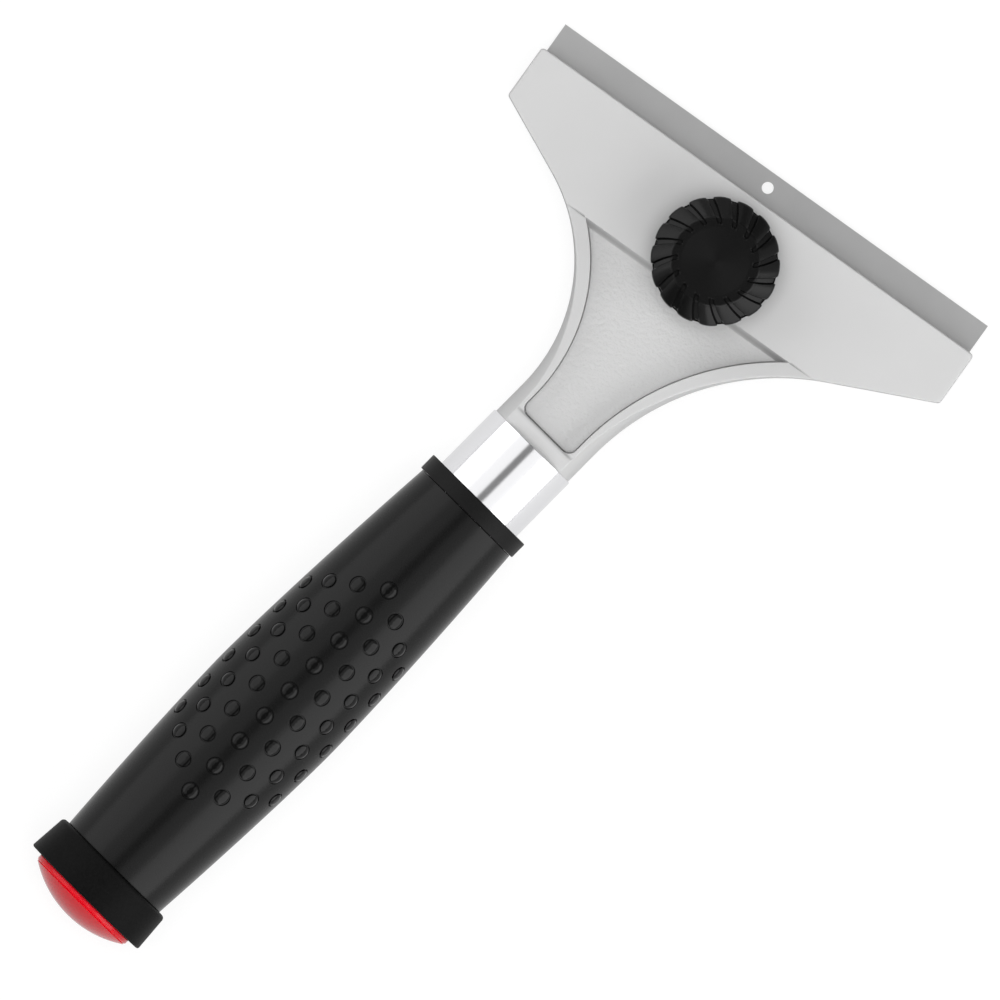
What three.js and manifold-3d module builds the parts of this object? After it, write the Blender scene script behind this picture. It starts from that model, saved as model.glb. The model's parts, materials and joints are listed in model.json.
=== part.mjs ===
// Grout scraper: a long blade clamped under a cast jaw, on a skewed tube handle with a studded rubber grip.
// Millimetres and degrees. X runs along the blade, Y points from the handle to the cutting edge and Z points
// up through the clamp knob. The origin is on the clamp bolt's axis, in the plane on which the scraper lies.

import * as THREE from 'three';
import { mergeGeometries, mergeVertices } from 'three/addons/utils/BufferGeometryUtils.js';
import Module from 'manifold-3d';

const wasm = await Module();
wasm.setup();

// Clearances
const FIT_GAP = 0.3; // between a bore and what sits in it
const SEAM_GAP = 0.2; // between sleeves that stand end to end
const SLIDE_GAP = 0.1; // beside the blade and under the knob

// Blade
const BLADE_LENGTH = 100;
const BLADE_DEPTH = 16;
const BLADE_THICKNESS = 0.5;
const BLADE_EXPOSED = 6.2; // in front of the jaw
const BLADE_BEVEL = 1.5; // width of the ground bevel under each long edge
const BLADE_EDGE = 0.1; // thickness left at the cutting edge
const BLADE_HOLE_DIAMETER = 2.3;
const BLADE_HOLE_INSET = 3; // from each long edge

// Clamp bolt, with a flat head and a square neck
const BOLT_DIAMETER = 6;
const BOLT_HEAD_DIAMETER = 12;
const BOLT_HEAD_RIM = 0.6;
const BOLT_HEAD_HEIGHT = 1.8;
const BOLT_NECK_WIDTH = 6.4;
const BOLT_END_ROOM = 1.5; // over the bolt, inside the knob
const BOLT_STOP_WALL = 1.5; // between the bolt and the back of the blade

// Clamp plate
const PLATE_THICKNESS = 4;
const PLATE_SETBACK = 0.5; // of its front behind the jaw's front
const PLATE_INSET = 1.2; // of its ends and shoulders inside the jaw's
const PLATE_CHAMFER = 2.5; // under its front edge
const PLATE_HEEL = 8; // reach behind the bolt

// Head casting
const JAW_THICKNESS = 7;
const JAW_OVERHANG = 1.1; // past each end of the blade
const JAW_END = 11.4; // length of the jaw's square ends
const JAW_CORNER_RADIUS = 0.8;
const JAW_FRONT_CHAMFER = 0.4;
const JAW_TAIL = 7.5; // from the bolt back to the step into the recess
const SHOULDER_ANGLE = 25;
const LEFT_SHOULDER_RADIUS = 34;
const RIGHT_SHOULDER_RADIUS = 50;
const NECK_REACH = 50; // from the bolt along the handle to the end of the neck
const NECK_STEP = 0.4; // of the neck's radius below the tube's
const NECK_FLAT = 3.3; // depth of the flats on the neck's top and bottom
const RIM_WIDTH = 3;
const RECESS_DEPTH = 3.5;
const RECESS_DRAFT = 1.3; // run of the sloping wall under the step
const RECESS_BAR = 3.4; // level bar between the recess and the end of the neck
const RECESS_CORNER_RADIUS = 2;

// Knob, its washer and its insert
const WASHER_DIAMETER = 14;
const WASHER_THICKNESS = 1;
const KNOB_DIAMETER = 25;
const KNOB_TOP_DIAMETER = 16;
const KNOB_HEIGHT = 12;
const KNOB_BAND = 7.5; // height of the upright band round the base
const KNOB_EDGE = 0.7; // rounding round the top
const KNOB_DISH = 0.5; // hollow of the top
const KNOB_FOOT = 0.5; // height of the foot that bears on the washer
const KNOB_ROOF = 2.5; // plastic left over the bolt's hole
const FLUTE_COUNT = 16;
const FLUTE_DEPTH = 0.9;
const FLUTE_SWIRL = 13.5; // turn of a flute between the top and the base
const INSERT_DIAMETER = 9;
const INSERT_LENGTH = 8;

// Handle, with lengths along its axis
const HANDLE_SKEW = 9.2; // off square to the blade
const TUBE_DIAMETER = 20.2;
const TUBE_WALL = 1.2;
const TUBE_SHOWING = 14.5; // between the neck and the collar
const SPIGOT_LENGTH = 28;
const SPIGOT_CHAMFER = 1;
const SPIGOT_RELIEF = 1; // width of the groove at its root
const PIN_DIAMETER = 3;
const PIN_FROM_NECK = 22;
const COLLAR_LENGTH = 3.5;
const COLLAR_WALL = 1.9;
const COLLAR_EDGE = 0.4;
const GRIP_LENGTH = 96;
const GRIP_FRONT_WALL = 1.35;
const GRIP_BELLY_WALL = 3.8;
const GRIP_REAR_WALL = 1.8;
const GRIP_BELLY_FROM_FRONT = 52;
const GRIP_TAPER_POWER = 1.5; // of the distance from the belly
const STUD_DIAMETER = 3.5;
const STUD_TOP_DIAMETER = 2.4;
const STUD_HEIGHT = 0.3;
const STUD_ROOT = 0.6; // depth of a stud sunk in the sleeve
const STUD_PITCH = 6.84;
const STUD_COLUMNS = 16;
const STUDS_IN_LONGEST_COLUMN = 9;
const STUDS_FROM_FRONT = 47.7; // middle of the pattern
const RING_LENGTH = 7.8;
const RING_FRONT_WALL = 3.25;
const RING_REAR_WALL = 3.85;
const RING_EDGE = 0.8;
const CAP_LAP = 1.7; // of the dome past the tube's outside
const CAP_RIM = 1.3;
const CAP_DOME = 3.3;
const CAP_PLUG_LENGTH = 14;
const CAP_PLUG_CHAMFER = 0.8;

// Fineness of the facets
const ARC_STEP = THREE.MathUtils.degToRad(5);
const ROUND_SEGMENTS = 32;
const FLUTE_SEGMENTS = 6;
const FLANK_STATIONS = 4;
const GRIP_STATIONS = 10;
const DOME_STATIONS = 7;
const STUD_SIDES = 6;

// Finishes: colour, roughness and metalness
const SILVER_CASTING = { color: 0xd0d0d0, roughness: 0.5, metalness: 0.4 };
const GROUND_STEEL = { color: 0xa8a8a8, roughness: 0.4, metalness: 0.9 };
const PLATED_STEEL = { color: 0xb8bac0, roughness: 0.35, metalness: 1 };
const CHROME = { color: 0xe8e8ea, roughness: 0.05, metalness: 1 };
const BRASS = { color: 0xc9a24a, roughness: 0.35, metalness: 1 };
const BLACK_PLASTIC = { color: 0x1c1c1c, roughness: 0.45, metalness: 0 };
const BLACK_RUBBER = { color: 0x202020, roughness: 0.55, metalness: 0 };
const RED_PLASTIC = { color: 0xcc0c1c, roughness: 0.15, metalness: 0 };

// Radii about the handle's axis
const tubeRadius = TUBE_DIAMETER / 2;
const tubeBore = tubeRadius - TUBE_WALL;
const plugRadius = tubeBore - FIT_GAP;
const sleeveBore = tubeRadius + FIT_GAP;
const neckRadius = tubeRadius - NECK_STEP;
const neckFlat = neckRadius - NECK_FLAT;

// Heights above the plane on which the scraper lies
const axisHeight = sleeveBore + GRIP_BELLY_WALL + STUD_HEIGHT;
const bladeLow = PLATE_THICKNESS + SLIDE_GAP;
const bladeHigh = bladeLow + BLADE_THICKNESS;
const jawLow = bladeHigh + SLIDE_GAP;
const jawHigh = jawLow + JAW_THICKNESS;
const washerHigh = jawHigh + WASHER_THICKNESS;
const knobLow = washerHigh + SLIDE_GAP;
const knobRoof = knobLow + KNOB_HEIGHT - KNOB_ROOF;
const neckLow = axisHeight - neckFlat;
const neckHigh = axisHeight + neckFlat;
const aboveAll = 2 * (knobRoof + axisHeight);

// Places along Y on the head
const bladeBack = BOLT_DIAMETER / 2 + BOLT_STOP_WALL;
const bladeFront = bladeBack + BLADE_DEPTH;
const jawFront = bladeFront - BLADE_EXPOSED;
const jawHalf = BLADE_LENGTH / 2 + JAW_OVERHANG;

// Places along the handle's axis, measured from the clamp bolt
const tubeStart = NECK_REACH + SEAM_GAP;
const collarStart = NECK_REACH + TUBE_SHOWING;
const gripStart = collarStart + COLLAR_LENGTH + SEAM_GAP;
const gripEnd = gripStart + GRIP_LENGTH;
const ringStart = gripEnd + SEAM_GAP;
const ringEnd = ringStart + RING_LENGTH;
const tubeEnd = ringEnd - SEAM_GAP;
const capStart = ringEnd + SEAM_GAP;

// Directions of the handle in plan: along it, away from the blade, and to its right
const skew = THREE.MathUtils.degToRad(HANDLE_SKEW);
const handleTurn = Math.PI - skew;
const alongHandle = new THREE.Vector2(-Math.sin(skew), -Math.cos(skew));
const rightOfHandle = new THREE.Vector2(Math.cos(skew), -Math.sin(skew));

// Turn a closed geometry into a solid that can be joined and cut
function solidOf(geometry) {
  const bare = geometry.clone();
  bare.deleteAttribute('normal');
  bare.deleteAttribute('uv');
  const merged = mergeVertices(bare);
  const kept = [];
  for (let i = 0; i < merged.index.count; i += 3) {
    const [a, b, c] = merged.index.array.slice(i, i + 3);
    if (a !== b && b !== c && c !== a) {
      kept.push(a, b, c);
    }
  }
  return new wasm.Manifold(new wasm.Mesh({
    numProp: 3,
    vertProperties: new Float32Array(merged.attributes.position.array),
    triVerts: new Uint32Array(kept),
  }));
}

// Turn a solid back into a geometry
function geometryOf(solid) {
  const mesh = solid.getMesh();
  const geometry = new THREE.BufferGeometry();
  geometry.setAttribute('position', new THREE.BufferAttribute(mesh.vertProperties, 3));
  geometry.setIndex(new THREE.BufferAttribute(mesh.triVerts, 1));
  geometry.computeVertexNormals();
  return geometry;
}

// Extrude a plan outline upwards between two heights
function prism(outline, low, high) {
  const shape = new THREE.Shape(outline);
  return new THREE.ExtrudeGeometry(shape, { depth: high - low, bevelEnabled: false }).translate(0, 0, low);
}

// Extrude a side profile, given as Y and Z, to both sides along X
function sideExtrusion(profile, halfLength) {
  const shape = new THREE.Shape(profile.map(([y, z]) => new THREE.Vector2(y, z)));
  const geometry = new THREE.ExtrudeGeometry(shape, { depth: 2 * halfLength, bevelEnabled: false });
  const profileToYZ = new THREE.Matrix4().makeBasis(
    new THREE.Vector3(0, 1, 0),
    new THREE.Vector3(0, 0, 1),
    new THREE.Vector3(1, 0, 0),
  );
  return geometry.applyMatrix4(profileToYZ).translate(-halfLength, 0, 0);
}

// Turn a profile of radius and distance about Y, the handle's own axis
function turned(profile, segments = ROUND_SEGMENTS) {
  return new THREE.LatheGeometry(profile.map(([radius, along]) => new THREE.Vector2(radius, along)), segments);
}

// A ring about Y with a plain bore, whose outside is given from its start to its end
function ringAbout(bore, outside) {
  const start = outside.at(0)[1];
  const end = outside.at(-1)[1];
  return turned([[bore, start], ...outside, [bore, end], [bore, start]]);
}

// A round bar about Z
function uprightBar(diameter, low, high) {
  const bar = new THREE.CylinderGeometry(diameter / 2, diameter / 2, high - low, ROUND_SEGMENTS);
  return bar.rotateX(Math.PI / 2).translate(0, 0, (low + high) / 2);
}

// Stand a geometry that was turned about Y up along Z
function upright(geometry) {
  return geometry.rotateX(Math.PI / 2);
}

// Move a geometry from the handle's own axes to the scraper's
function onHandle(geometry) {
  return geometry.rotateZ(handleTurn).translate(0, 0, axisHeight);
}

// A point in plan at a distance along the handle and to its right
function besideHandle(along, right) {
  return new THREE.Vector2().addScaledVector(alongHandle, along).addScaledVector(rightOfHandle, right);
}

// Where two lines meet, each given by a point and a direction
function meeting(point, way, otherPoint, otherWay) {
  const run = otherPoint.clone().sub(point).cross(otherWay) / way.cross(otherWay);
  return point.clone().addScaledVector(way, run);
}

// Points of the arc that rounds the corner between two neighbours
function cornerArc(before, corner, after, radius) {
  if (radius <= 0) {
    return [corner];
  }
  const back = before.clone().sub(corner).normalize();
  const onward = after.clone().sub(corner).normalize();
  const half = back.angleTo(onward) / 2;
  const centre = back.clone().add(onward).setLength(radius / Math.sin(half)).add(corner);
  const start = corner.clone().addScaledVector(back, radius / Math.tan(half));
  const sweep = Math.sign(back.cross(start.clone().sub(centre))) * (Math.PI - 2 * half);
  const steps = Math.ceil(Math.abs(sweep) / ARC_STEP);
  return Array.from({ length: steps + 1 }, (_, i) => start.clone().rotateAround(centre, (sweep * i) / steps));
}

// Points of a closed outline whose corners are rounded
function roundedOutline(corners) {
  return corners.flatMap(({ point, radius }, i) => {
    const before = corners.at(i - 1).point;
    const after = corners[(i + 1) % corners.length].point;
    return cornerArc(before, point, after, radius);
  });
}

// Corners down one side of the head's plan outline, drawn in by an inset, from the front to the neck's end
function sideCorners(side, shoulderRadius, inset, neckEnd, neckCornerRadius) {
  const slope = THREE.MathUtils.degToRad(SHOULDER_ANGLE);
  const shoulderWay = new THREE.Vector2(-side * Math.cos(slope), -Math.sin(slope));
  const inward = new THREE.Vector2(-side * Math.sin(slope), Math.cos(slope));
  const shoulder = new THREE.Vector2(side * jawHalf, jawFront - JAW_END).addScaledVector(inward, inset);
  const front = new THREE.Vector2(side * (jawHalf - inset), jawFront - inset);
  const backwards = new THREE.Vector2(0, -1);
  const neckHalf = side * (neckRadius - inset);
  return [
    { point: front, radius: JAW_CORNER_RADIUS },
    { point: meeting(front, backwards, shoulder, shoulderWay), radius: JAW_CORNER_RADIUS },
    {
      point: meeting(shoulder, shoulderWay, besideHandle(0, neckHalf), alongHandle),
      radius: shoulderRadius + inset,
    },
    { point: besideHandle(neckEnd, neckHalf), radius: neckCornerRadius },
  ];
}

// The head's plan outline, drawn in by an inset and closed across the neck
function headOutline(inset, neckEnd, neckCornerRadius) {
  const left = sideCorners(-1, LEFT_SHOULDER_RADIUS, inset, neckEnd, neckCornerRadius);
  const right = sideCorners(1, RIGHT_SHOULDER_RADIUS, inset, neckEnd, neckCornerRadius);
  return roundedOutline([...left, ...right.reverse()]);
}

// A body turned about the handle that rounds the neck: at each place as wide as the left shoulder
function neckRounding() {
  const [, jawEnd, armpit, neckEnd] = sideCorners(-1, LEFT_SHOULDER_RADIUS, 0, NECK_REACH, 0);
  const shoulder = cornerArc(jawEnd.point, armpit.point, neckEnd.point, armpit.radius);
  const profile = [jawEnd.point, ...shoulder, neckEnd.point].map(
    (point) => [-point.dot(rightOfHandle), point.dot(alongHandle)],
  );
  const clear = 2 * (jawHalf + jawFront);
  const jawReach = profile.at(0)[1];
  return onHandle(turned([[0, -clear], [clear, -clear], [clear, jawReach], ...profile, [0, NECK_REACH]]));
}

// The cross pin's bar, or its hole, on the handle's axes
function pinBar(diameter, halfLength) {
  return uprightBar(diameter, -halfLength, halfLength).translate(0, NECK_REACH + PIN_FROM_NECK, 0);
}

function pinHole() {
  return pinBar(PIN_DIAMETER + 2 * FIT_GAP, 2 * tubeRadius);
}

// Cast head: the jaw over the blade, a rim round a recessed web, the neck and the spigot in the tube
function headCasting() {
  const barStart = -(NECK_REACH - RECESS_BAR) * Math.cos(skew);
  const behind = -NECK_REACH - neckRadius;
  const plan = prism(headOutline(0, NECK_REACH, 0), 0, aboveAll);
  const side = sideExtrusion([
    [jawFront, jawLow],
    [jawFront, jawHigh - JAW_FRONT_CHAMFER],
    [jawFront - JAW_FRONT_CHAMFER, jawHigh],
    [-JAW_TAIL, jawHigh],
    [barStart, neckHigh],
    [behind, neckHigh],
    [behind, neckLow],
    [barStart, neckLow],
    [-JAW_TAIL, jawLow],
  ], 2 * jawHalf);

  const recessPlan = prism(headOutline(RIM_WIDTH, NECK_REACH - RECESS_BAR, RECESS_CORNER_RADIUS), 0, aboveAll);
  const recessSide = sideExtrusion([
    [-JAW_TAIL, aboveAll],
    [-JAW_TAIL, jawHigh],
    [-JAW_TAIL - RECESS_DRAFT, jawHigh - RECESS_DEPTH],
    [barStart, neckHigh - RECESS_DEPTH],
    [behind, neckHigh - RECESS_DEPTH],
    [behind, aboveAll],
  ], 2 * jawHalf);

  const spigotRoot = neckFlat - FIT_GAP;
  const spigotEnd = NECK_REACH + SPIGOT_LENGTH;
  const spigot = turned([
    [0, NECK_REACH - RECESS_BAR / 2],
    [spigotRoot, NECK_REACH - RECESS_BAR / 2],
    [spigotRoot, tubeStart + SPIGOT_RELIEF],
    [plugRadius, tubeStart + SPIGOT_RELIEF],
    [plugRadius, spigotEnd - SPIGOT_CHAMFER],
    [plugRadius - SPIGOT_CHAMFER, spigotEnd],
    [0, spigotEnd],
  ]);

  return solidOf(plan)
    .intersect(solidOf(side))
    .intersect(solidOf(neckRounding()))
    .subtract(solidOf(recessPlan).intersect(solidOf(recessSide)))
    .add(solidOf(onHandle(spigot)))
    .subtract(solidOf(uprightBar(BOLT_DIAMETER + 2 * FIT_GAP, 0, aboveAll)))
    .subtract(solidOf(onHandle(pinHole())));
}

// Bolt's flat head, square neck and shank, swollen by a gap for the hole that takes it
function boltForm(gap, low, neckHeight, high) {
  const headRadius = BOLT_HEAD_DIAMETER / 2 + gap;
  const shankRadius = BOLT_DIAMETER / 2 + gap;
  const neckWidth = BOLT_NECK_WIDTH + 2 * gap;
  const round = upright(turned([
    [0, low],
    [headRadius, low],
    [headRadius, BOLT_HEAD_RIM + gap],
    [shankRadius, BOLT_HEAD_HEIGHT + gap],
    [shankRadius, high],
    [0, high],
  ]));
  const neck = new THREE.BoxGeometry(neckWidth, neckWidth, neckHeight - BOLT_HEAD_RIM);
  neck.translate(0, 0, (neckHeight + BOLT_HEAD_RIM) / 2);
  return solidOf(round).add(solidOf(neck));
}

// Clamp bolt, held against turning by the plate and reaching up into the knob
function clampBolt() {
  return boltForm(0, 0, PLATE_THICKNESS, knobRoof - BOLT_END_ROOM);
}

// Rear jaw plate: a seat for the blade, a heel that stops it, and a square hole for the bolt
function clampPlate() {
  const front = jawFront - PLATE_SETBACK;
  const stop = bladeBack - SLIDE_GAP;
  const heelHigh = jawLow - SLIDE_GAP;
  const plan = prism(headOutline(PLATE_INSET, NECK_REACH, 0), 0, aboveAll);
  const side = sideExtrusion([
    [front - PLATE_CHAMFER, 0],
    [front, PLATE_CHAMFER],
    [front, PLATE_THICKNESS],
    [stop, PLATE_THICKNESS],
    [stop, heelHigh],
    [-PLATE_HEEL, heelHigh],
    [-PLATE_HEEL, 0],
  ], 2 * jawHalf);
  return solidOf(plan)
    .intersect(solidOf(side))
    .subtract(boltForm(FIT_GAP, -PLATE_THICKNESS, aboveAll, aboveAll));
}

// Reversible blade, ground to an edge along both sides, with a hole near each
function blade() {
  const strip = sideExtrusion([
    [bladeFront, bladeHigh],
    [bladeBack, bladeHigh],
    [bladeBack, bladeHigh - BLADE_EDGE],
    [bladeBack + BLADE_BEVEL, bladeLow],
    [bladeFront - BLADE_BEVEL, bladeLow],
    [bladeFront, bladeHigh - BLADE_EDGE],
  ], BLADE_LENGTH / 2);
  const hole = (y) => solidOf(uprightBar(BLADE_HOLE_DIAMETER, 0, aboveAll).translate(0, y, 0));
  return solidOf(strip)
    .subtract(hole(bladeFront - BLADE_HOLE_INSET))
    .subtract(hole(bladeBack + BLADE_HOLE_INSET));
}

// Plain washer between the jaw and the knob
function knobWasher() {
  const radius = WASHER_DIAMETER / 2;
  return upright(ringAbout(BOLT_DIAMETER / 2 + FIT_GAP, [[radius, jawHigh], [radius, washerHigh]]));
}

// Cut swirling flutes into a body turned about Y, from its top edge out to its base
function cutFlutes(body, topRadius, baseRadius) {
  const place = body.attributes.position;
  for (let i = 0; i < place.count; i += 1) {
    const radius = Math.hypot(place.getX(i), place.getZ(i));
    const out = (radius - topRadius) / (baseRadius - topRadius);
    if (out > 0) {
      const around = Math.atan2(place.getX(i), place.getZ(i));
      const groove = (1 + Math.cos(FLUTE_COUNT * around)) / 2;
      const cut = radius - FLUTE_DEPTH * groove * Math.min(1, (radius - topRadius) / KNOB_EDGE);
      const swirled = around + THREE.MathUtils.degToRad(FLUTE_SWIRL) * out;
      place.setX(i, cut * Math.sin(swirled));
      place.setZ(i, cut * Math.cos(swirled));
    }
  }
  return body;
}

// Moulded knob with a sloping fluted flank, a foot on the washer and a stepped hole for insert and bolt
function knob() {
  const baseRadius = KNOB_DIAMETER / 2;
  const topRadius = KNOB_TOP_DIAMETER / 2;
  const footRadius = WASHER_DIAMETER / 2;
  const flankLow = knobLow + KNOB_FOOT + KNOB_BAND;
  const knobHigh = knobLow + KNOB_HEIGHT;
  const flank = Array.from({ length: FLANK_STATIONS + 1 }, (_, i) => [
    THREE.MathUtils.lerp(baseRadius, topRadius + KNOB_EDGE, i / FLANK_STATIONS),
    THREE.MathUtils.lerp(flankLow, knobHigh - KNOB_EDGE, i / FLANK_STATIONS),
  ]);
  const body = turned([
    [0, knobLow],
    [footRadius, knobLow],
    [footRadius, knobLow + KNOB_FOOT],
    [baseRadius, knobLow + KNOB_FOOT],
    ...flank,
    [topRadius, knobHigh],
    [0, knobHigh - KNOB_DISH],
  ], FLUTE_COUNT * FLUTE_SEGMENTS);
  const pocketRadius = INSERT_DIAMETER / 2 + FIT_GAP;
  const pocketHigh = knobLow + INSERT_LENGTH + FIT_GAP;
  const holeRadius = BOLT_DIAMETER / 2 + FIT_GAP;
  const hole = turned([
    [0, 0],
    [pocketRadius, 0],
    [pocketRadius, pocketHigh],
    [holeRadius, pocketHigh],
    [holeRadius, knobRoof],
    [0, knobRoof],
  ]);
  return solidOf(upright(cutFlutes(body, topRadius, baseRadius))).subtract(solidOf(upright(hole)));
}

// Brass insert in the knob, which runs on the bolt's thread
function knobInsert() {
  const radius = INSERT_DIAMETER / 2;
  const high = knobLow + INSERT_LENGTH;
  return upright(ringAbout(BOLT_DIAMETER / 2 + FIT_GAP, [[radius, knobLow], [radius, high]]));
}

// Chromed tube over the spigot, cross drilled for the pin
function shankTube() {
  const tube = ringAbout(tubeBore, [[tubeRadius, tubeStart], [tubeRadius, tubeEnd]]);
  return solidOf(tube).subtract(solidOf(pinHole()));
}

// Plastic collar in front of the grip
function frontCollar() {
  const radius = sleeveBore + COLLAR_WALL;
  const end = collarStart + COLLAR_LENGTH;
  return ringAbout(sleeveBore, [
    [radius - COLLAR_EDGE, collarStart],
    [radius, collarStart + COLLAR_EDGE],
    [radius, end - COLLAR_EDGE],
    [radius - COLLAR_EDGE, end],
  ]);
}

// Radius of the smooth grip, which tapers from the belly to both ends
function gripRadius(along) {
  const fromBelly = along - gripStart - GRIP_BELLY_FROM_FRONT;
  const inFront = fromBelly < 0;
  const span = inFront ? GRIP_BELLY_FROM_FRONT : GRIP_LENGTH - GRIP_BELLY_FROM_FRONT;
  const endWall = inFront ? GRIP_FRONT_WALL : GRIP_REAR_WALL;
  const taper = (Math.abs(fromBelly) / span) ** GRIP_TAPER_POWER;
  return sleeveBore + GRIP_BELLY_WALL - (GRIP_BELLY_WALL - endWall) * taper;
}

// One raised stud, at a distance along the handle and an angle round it from the top
function stud(along, around) {
  const height = STUD_ROOT + STUD_HEIGHT;
  const button = new THREE.CylinderGeometry(STUD_TOP_DIAMETER / 2, STUD_DIAMETER / 2, height, STUD_SIDES);
  const middle = gripRadius(along) + STUD_HEIGHT - height / 2;
  return upright(button).translate(0, along, middle).rotateY(around);
}

// Studs in staggered columns round the grip: fewer in each column away from the top and the bottom, and none
// at the two sides, where the mould parts
function studs() {
  const all = [];
  for (let column = 0; column < STUD_COLUMNS; column += 1) {
    const fromTop = Math.min(column, STUD_COLUMNS - column);
    const atSide = fromTop === STUD_COLUMNS / 4;
    const count = atSide ? 0 : STUDS_IN_LONGEST_COLUMN - Math.min(fromTop, STUD_COLUMNS / 2 - fromTop);
    for (let row = 0; row < count; row += 1) {
      const along = gripStart + STUDS_FROM_FRONT + STUD_PITCH * (row - (count - 1) / 2);
      all.push(stud(along, (2 * Math.PI * column) / STUD_COLUMNS));
    }
  }
  return mergeGeometries(all);
}

// Rubber sleeve with a swelling belly and raised studs
function gripSleeve() {
  const outside = Array.from({ length: GRIP_STATIONS + 1 }, (_, i) => {
    const along = THREE.MathUtils.lerp(gripStart, gripEnd, i / GRIP_STATIONS);
    return [gripRadius(along), along];
  });
  return solidOf(ringAbout(sleeveBore, outside)).add(solidOf(studs()));
}

// Plastic ring behind the grip, slightly wider at its back
function endRing() {
  const frontRadius = sleeveBore + RING_FRONT_WALL;
  const rearRadius = sleeveBore + RING_REAR_WALL;
  return ringAbout(sleeveBore, [
    [frontRadius - RING_EDGE, ringStart],
    [frontRadius, ringStart + RING_EDGE],
    [rearRadius, ringEnd - RING_EDGE / 2],
    [rearRadius - RING_EDGE / 2, ringEnd],
  ]);
}

// Cap with a straight rim, a dome that is part of a sphere, and a plug in the end of the tube
function endCap() {
  const domeRadius = tubeRadius + CAP_LAP;
  const domeStart = capStart + CAP_RIM;
  const plugStart = capStart - CAP_PLUG_LENGTH;
  const sphere = (domeRadius ** 2 + CAP_DOME ** 2) / (2 * CAP_DOME);
  const capEnd = domeStart + CAP_DOME;
  const dome = Array.from({ length: DOME_STATIONS }, (_, i) => {
    const lean = Math.asin(domeRadius / sphere) * (1 - i / DOME_STATIONS);
    return [sphere * Math.sin(lean), capEnd - sphere * (1 - Math.cos(lean))];
  });
  return turned([
    [0, plugStart],
    [plugRadius - CAP_PLUG_CHAMFER, plugStart],
    [plugRadius, plugStart + CAP_PLUG_CHAMFER],
    [plugRadius, capStart],
    [domeRadius, capStart],
    ...dome,
    [0, capEnd],
  ]);
}

// A named piece of the scraper
function piece(name, geometry, finish) {
  const mesh = new THREE.Mesh(geometry, new THREE.MeshStandardMaterial(finish));
  mesh.name = name;
  return mesh;
}

// The handle stands on its own axes, with Y along it away from the blade
const handle = new THREE.Group();
handle.position.z = axisHeight;
handle.rotation.z = handleTurn;
handle.add(
  piece('shank_tube', geometryOf(shankTube()), CHROME),
  piece('shank_pin', pinBar(PIN_DIAMETER, tubeRadius - FIT_GAP), PLATED_STEEL),
  piece('front_collar', frontCollar(), BLACK_PLASTIC),
  piece('grip_sleeve', geometryOf(gripSleeve()), BLACK_RUBBER),
  piece('end_ring', endRing(), BLACK_PLASTIC),
  piece('end_cap', endCap(), RED_PLASTIC),
);

const scraper = new THREE.Group();
scraper.add(
  piece('head_casting', geometryOf(headCasting()), SILVER_CASTING),
  piece('clamp_plate', geometryOf(clampPlate()), SILVER_CASTING),
  piece('clamp_bolt', geometryOf(clampBolt()), PLATED_STEEL),
  piece('blade', geometryOf(blade()), GROUND_STEEL),
  piece('knob_washer', knobWasher(), PLATED_STEEL),
  piece('knob', geometryOf(knob()), BLACK_PLASTIC),
  piece('knob_insert', knobInsert(), BRASS),
  handle,
);

export default scraper;
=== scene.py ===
"""Dressed model of a hand scraper: a blade clamped in a cast head, on a tube with a studded rubber grip.

Sizes are in millimetres and angles in degrees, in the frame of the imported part: X runs along the blade,
Y points to the cutting edge and Z points up through the clamp knob. Meshes are made in metres.
"""

import json
import logging
import math
from collections.abc import Sequence
from dataclasses import dataclass, field
from enum import Enum

import bpy
import numpy as np
from mathutils import Matrix, Vector

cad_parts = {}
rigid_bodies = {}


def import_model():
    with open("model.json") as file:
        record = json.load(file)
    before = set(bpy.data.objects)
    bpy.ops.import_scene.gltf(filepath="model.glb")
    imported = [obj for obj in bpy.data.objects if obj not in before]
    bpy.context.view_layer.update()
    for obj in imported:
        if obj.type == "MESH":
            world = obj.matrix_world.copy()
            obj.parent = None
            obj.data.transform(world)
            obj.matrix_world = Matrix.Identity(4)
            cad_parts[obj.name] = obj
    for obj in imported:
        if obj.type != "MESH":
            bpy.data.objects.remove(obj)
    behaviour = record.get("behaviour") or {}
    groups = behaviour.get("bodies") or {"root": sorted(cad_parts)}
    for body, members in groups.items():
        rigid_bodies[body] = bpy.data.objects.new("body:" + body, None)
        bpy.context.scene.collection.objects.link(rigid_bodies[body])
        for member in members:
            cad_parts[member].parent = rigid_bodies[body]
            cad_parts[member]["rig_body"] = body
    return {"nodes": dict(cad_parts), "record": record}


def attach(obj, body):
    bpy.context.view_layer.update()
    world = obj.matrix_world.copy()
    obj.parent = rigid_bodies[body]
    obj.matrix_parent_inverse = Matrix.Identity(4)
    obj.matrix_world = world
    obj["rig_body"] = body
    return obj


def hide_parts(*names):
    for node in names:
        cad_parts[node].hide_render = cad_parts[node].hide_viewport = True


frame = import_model()

Array = np.ndarray
Corner = tuple[float, float, float]
Material = bpy.types.Material
Tree = bpy.types.NodeTree
Socket = bpy.types.NodeSocket

MM = 0.001
SHARP_ANGLE = math.radians(38)
ARC_STEPS = 6
ROUND_COLUMNS = 128
# Radius of the small face that closes a turned piece at its axis
AXIS_GAP = 0.3
# Sockets of the node that mixes colours, which go by number
MIX_SHARE, MIX_FIRST, MIX_SECOND, MIX_RESULT = 0, 6, 7, 2
# Octaves of the noises
BROAD_DETAIL, FINE_DETAIL, COARSE_DETAIL = 3.0, 4.0, 2.0

log = logging.getLogger("scraper")


# Shapes


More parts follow.
